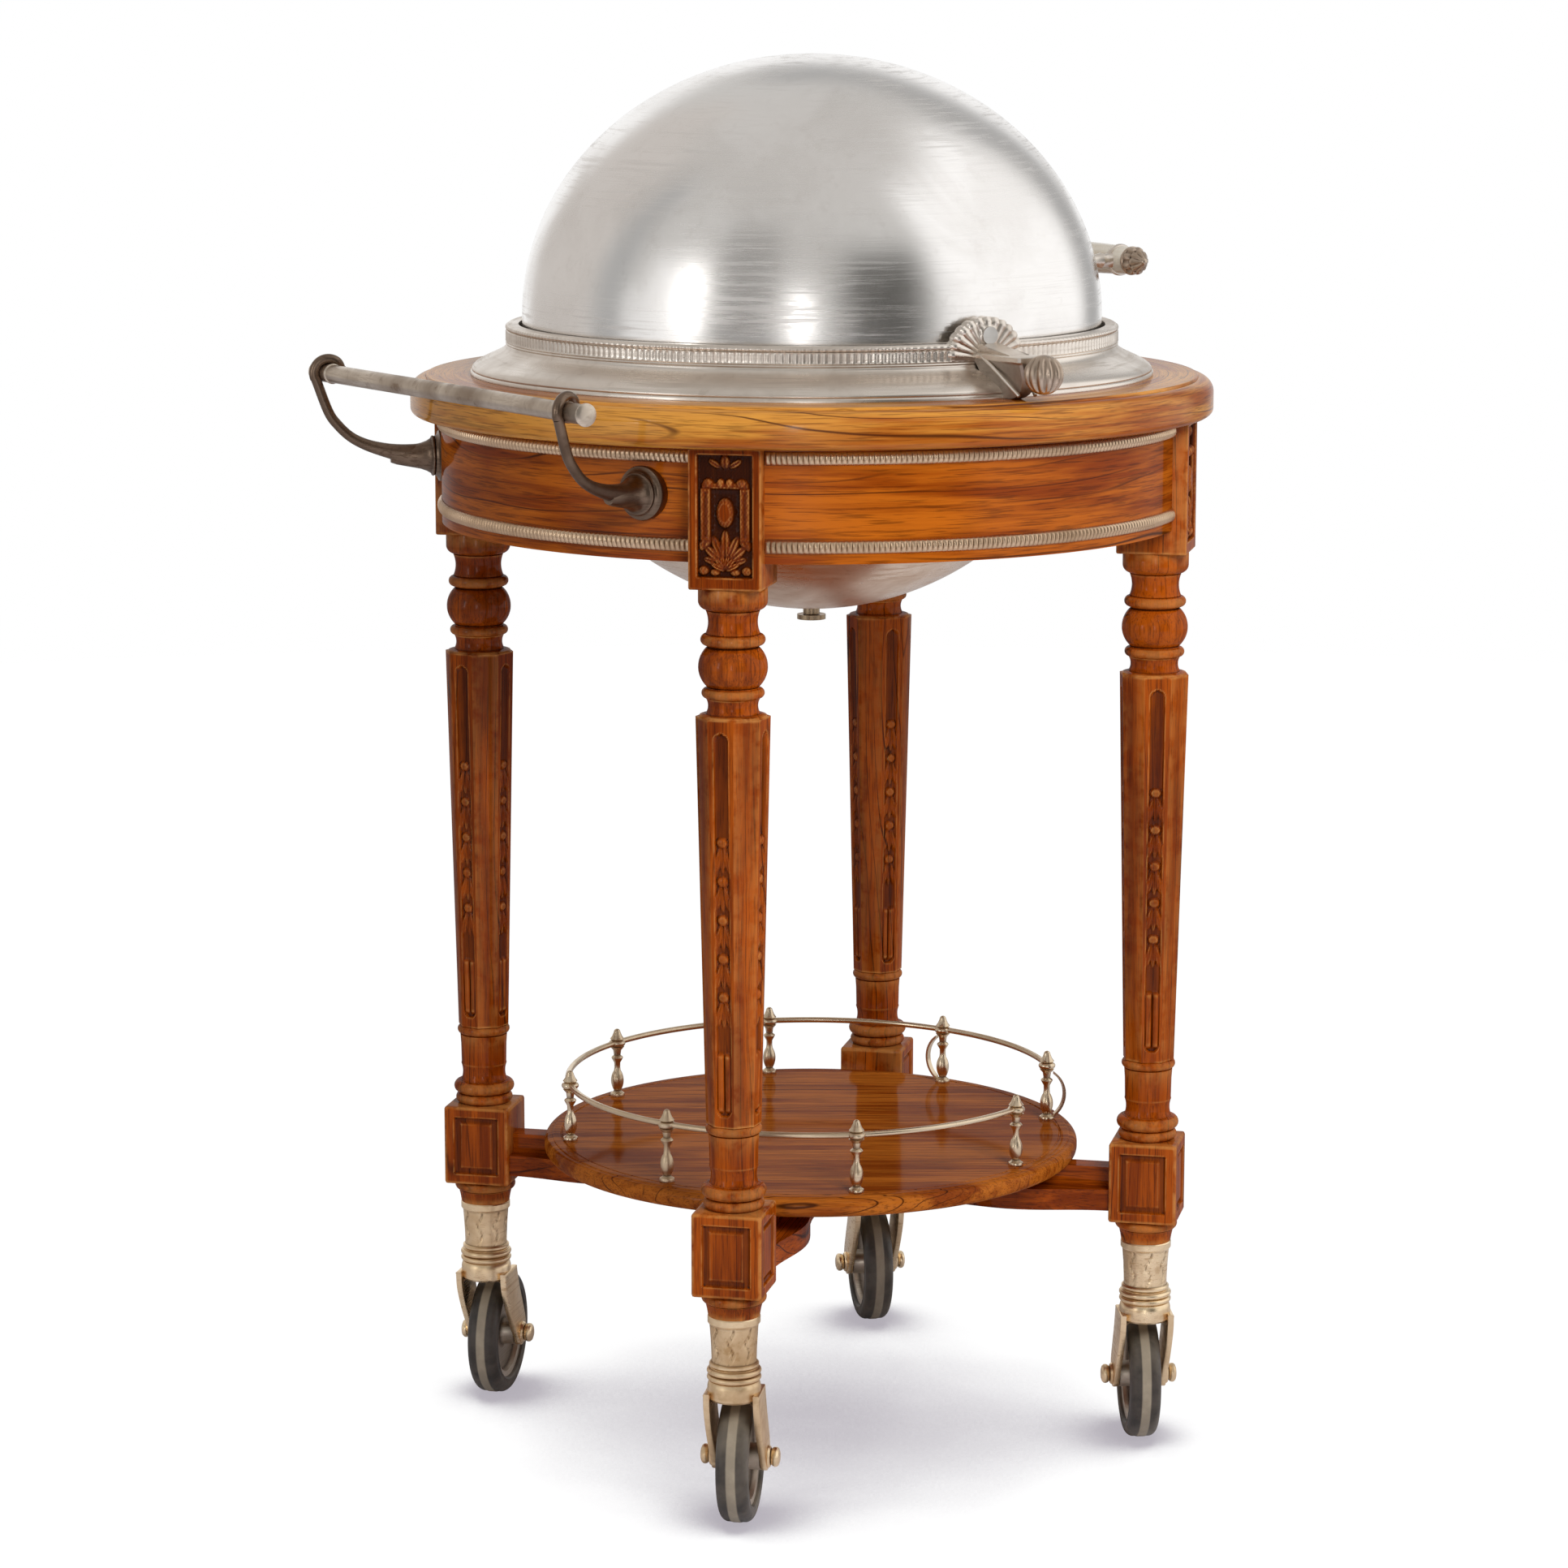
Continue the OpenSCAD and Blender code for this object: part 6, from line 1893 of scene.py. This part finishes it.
@dataclass
class Studio:
    """The camera, the pale floor and the soft studio round the object."""

    eye: tuple[float, float, float] = (-2.0554, -3.2042, 1.2435)
    right: tuple[float, float, float] = (0.843189, -0.537616, 0.000367)
    up: tuple[float, float, float] = (0.094337, 0.148629, 0.984383)
    forward: tuple[float, float, float] = (0.529275, 0.829987, -0.176040)
    lens: float = 105.34
    floor_radius: float = 4.6
    floor_sides: int = 64
    floor_colours: tuple[Colour, Colour] = ((0.84, 0.82, 0.87), (0.88, 0.865, 0.905))
    # The object's shadow is painted into the floor's glow: its colour, how far the occlusion reaches, how it
    # leans and the span it fades over.
    shade: Colour = (0.44, 0.415, 0.46)
    shade_reach: float = 0.31
    shade_lean: tuple[float, float, float] = (-0.41, -0.27, 0.87)
    shade_span: tuple[float, float] = (0.5, 0.8)
    glow: float = 1.08
    glow_share: float = 0.92
    ambient: Colour = (0.6, 0.594, 0.582)
    ceiling: Colour = (0.6, 0.585, 0.57)
    ceiling_span: tuple[float, float] = (30.0, 75.0)
    fill: float = 0.6
    key_power: float = 74.0
    key_size: float = 1.3
    key_azimuth: float = 263.0
    key_slope: float = 0.62
    key_aim: float = 0.6
    key_distance: float = 3.3
    patches: tuple[Patch, ...] = (
        Patch(112, 30, -90, 58, 0.6, (1.0, 0.95, 0.91), 8),
        Patch(40, 26, -90, 47, 0.42, soft=6),
        Patch(62, 26, -90, 29, 0.97, soft=9),
        Patch(331, 41, -90, 60, 1.08, soft=9),
        Patch(150, 8, -40, 56, 0.42, soft=7),
        Patch(164, 6, -20, 12, 0.8, soft=5),
        Patch(210, 13, -30, 46, 0.34, (1.0, 0.98, 0.96), 5),
        Patch(266, 17, -50, 34, 0.11, (1.0, 0.98, 0.92), 10),
        Patch(178, 10, -30, 27, 0.95, soft=6),
        Patch(187, 7.5, -8, 27, 1.25, soft=5),
        Patch(232.5, 6, -14, 18, 1.1, soft=5),
        Patch(188, 2.2, 0, 22, 5.6, soft=2.4),
        Patch(232.5, 1.7, -4, 13, 5.6, soft=2.0))

    def build(self) -> None:
        """Makes the camera, the floor, the key light and the world."""
        self._camera()
        self._floor()
        self._key()
        self._world()
        bpy.context.scene.view_settings.view_transform = "Standard"

    def _camera(self) -> None:
        """The camera at the photograph's viewpoint."""
        data = bpy.data.cameras.new("photo_camera")
        data.lens = self.lens
        data.sensor_width = 36.0
        camera = bpy.data.objects.new("photo_camera", data)
        bpy.context.scene.collection.objects.link(camera)
        rows = zip(self.right, self.up, [-c for c in self.forward], self.eye)
        camera.matrix_world = Matrix([*[list(row) for row in rows], [0, 0, 0, 1]])
        data.clip_end = 500.0
        bpy.context.scene.camera = camera

    def _floor(self) -> None:
        """A pale floor that glows white to the camera, with the object's shadow painted into the glow from a
        leaning ambient occlusion; its small diffuse share keeps a real shadow.
        """
        mesh = bpy.data.meshes.new("floor")
        ring = [(self.floor_radius * math.cos(a), self.floor_radius * math.sin(a), 0.0)
                for a in np.linspace(0, math.tau, self.floor_sides, endpoint=False)]
        mesh.from_pydata(ring, [], [tuple(range(self.floor_sides))])
        floor = bpy.data.objects.new("floor", mesh)
        bpy.context.scene.collection.objects.link(floor)
        material = bpy.data.materials.new("pale_floor")
        material.use_nodes = True
        tree = material.node_tree
        tree.nodes.clear()
        g = Graph(tree)
        place = g.node("ShaderNodeTexCoord").outputs["Object"]
        mottle = g.noise(place, 3.0, 3.0, 0.5)
        diffuse = g.node("ShaderNodeBsdfDiffuse")
        g.put(diffuse.inputs["Color"], g.mix(mottle, *self.floor_colours))
        # Painted shadow: the glow fades to the shade colour where the leaning occlusion meets the object.
        open_sky = g.node("ShaderNodeAmbientOcclusion")
        open_sky.inputs["Distance"].default_value = self.shade_reach
        open_sky.inputs["Normal"].default_value = self.shade_lean
        lit = g.span(open_sky.outputs["AO"], *self.shade_span)
        glow = g.node("ShaderNodeEmission")
        g.put(glow.inputs["Color"], g.mix(lit, self.shade, WHITE))
        glow.inputs["Strength"].default_value = self.glow
        rays = g.node("ShaderNodeLightPath")
        mixer = g.node("ShaderNodeMixShader")
        g.put(mixer.inputs[0], g.times(rays.outputs["Is Camera Ray"], self.glow_share))
        g.put(mixer.inputs[1], diffuse.outputs[0])
        g.put(mixer.inputs[2], glow.outputs[0])
        output = g.node("ShaderNodeOutputMaterial")
        g.put(output.inputs["Surface"], mixer.outputs[0])
        mesh.materials.append(material)

    def _key(self) -> None:
        """A large soft light in front, to the right, which mirrors don't show."""
        light = bpy.data.lights.new("key_light", "AREA")
        light.shape = "SQUARE"
        light.size = self.key_size
        light.energy = self.key_power
        made = bpy.data.objects.new("key_light", light)
        azimuth = math.radians(self.key_azimuth)
        away = Vector((math.cos(azimuth), math.sin(azimuth), self.key_slope)).normalized()
        made.location = Vector((0, 0, self.key_aim)) + self.key_distance * away
        made.rotation_euler = away.to_track_quat("Z", "Y").to_euler()
        made.visible_glossy = False
        bpy.context.scene.collection.objects.link(made)

    def _world(self) -> None:
        """The studio as a world: softboxes, screens and darker gaps, and white to the camera."""
        world = bpy.data.worlds.new("studio")
        bpy.context.scene.world = world
        world.use_nodes = True
        tree = world.node_tree
        tree.nodes.clear()
        g = Graph(tree)
        x, y, z = g.split(g.node("ShaderNodeTexCoord").outputs["Generated"])
        azimuth = g.times(g.math("ARCTAN2", y, x), 180 / math.pi)
        height = g.times(g.math("ARCSINE", z), 180 / math.pi)
        colour = g.mix(g.span(height, *self.ceiling_span), self.ambient, self.ceiling)
        for patch in self.patches:
            soft = patch.soft
            away = g.math("MODULO", g.math("SUBTRACT", azimuth, patch.azimuth - 540), 360)
            away = g.math("ABSOLUTE", g.math("SUBTRACT", away, 180))
            inside = g.span(away, patch.half_width + soft, patch.half_width - soft)
            above = g.span(height, patch.low - soft, patch.low + soft)
            below = g.span(height, patch.high + soft, patch.high - soft)
            mask = g.times(inside, g.times(above, below))
            colour = g.mix(mask, colour, tuple(patch.level * c for c in patch.tint))
        rays = g.node("ShaderNodeLightPath")
        dim = g.mix(1.0, colour, (self.fill, self.fill, self.fill), "MULTIPLY")
        colour = g.mix(rays.outputs["Is Glossy Ray"], dim, colour)
        colour = g.mix(rays.outputs["Is Camera Ray"], colour, WHITE)
        background = g.node("ShaderNodeBackground")
        g.put(background.inputs["Color"], colour)
        output = g.node("ShaderNodeOutputWorld")
        g.put(output.inputs["Surface"], background.outputs[0])


def main() -> None:
    """Builds the trolley and its studio."""
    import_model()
    finishes = Finishes(Effects())
    Studio().build()
    for kind in (Legs, Skirt, Top, Shelf, Well, Trunnions, Warmer, PushHandle, Dome, Casters):
        LOG.info("building %s", kind.__name__)
        kind(finishes).build()


if __name__ == "__main__":
    logging.basicConfig(level=logging.INFO, format="%(name)s: %(message)s")
    main()
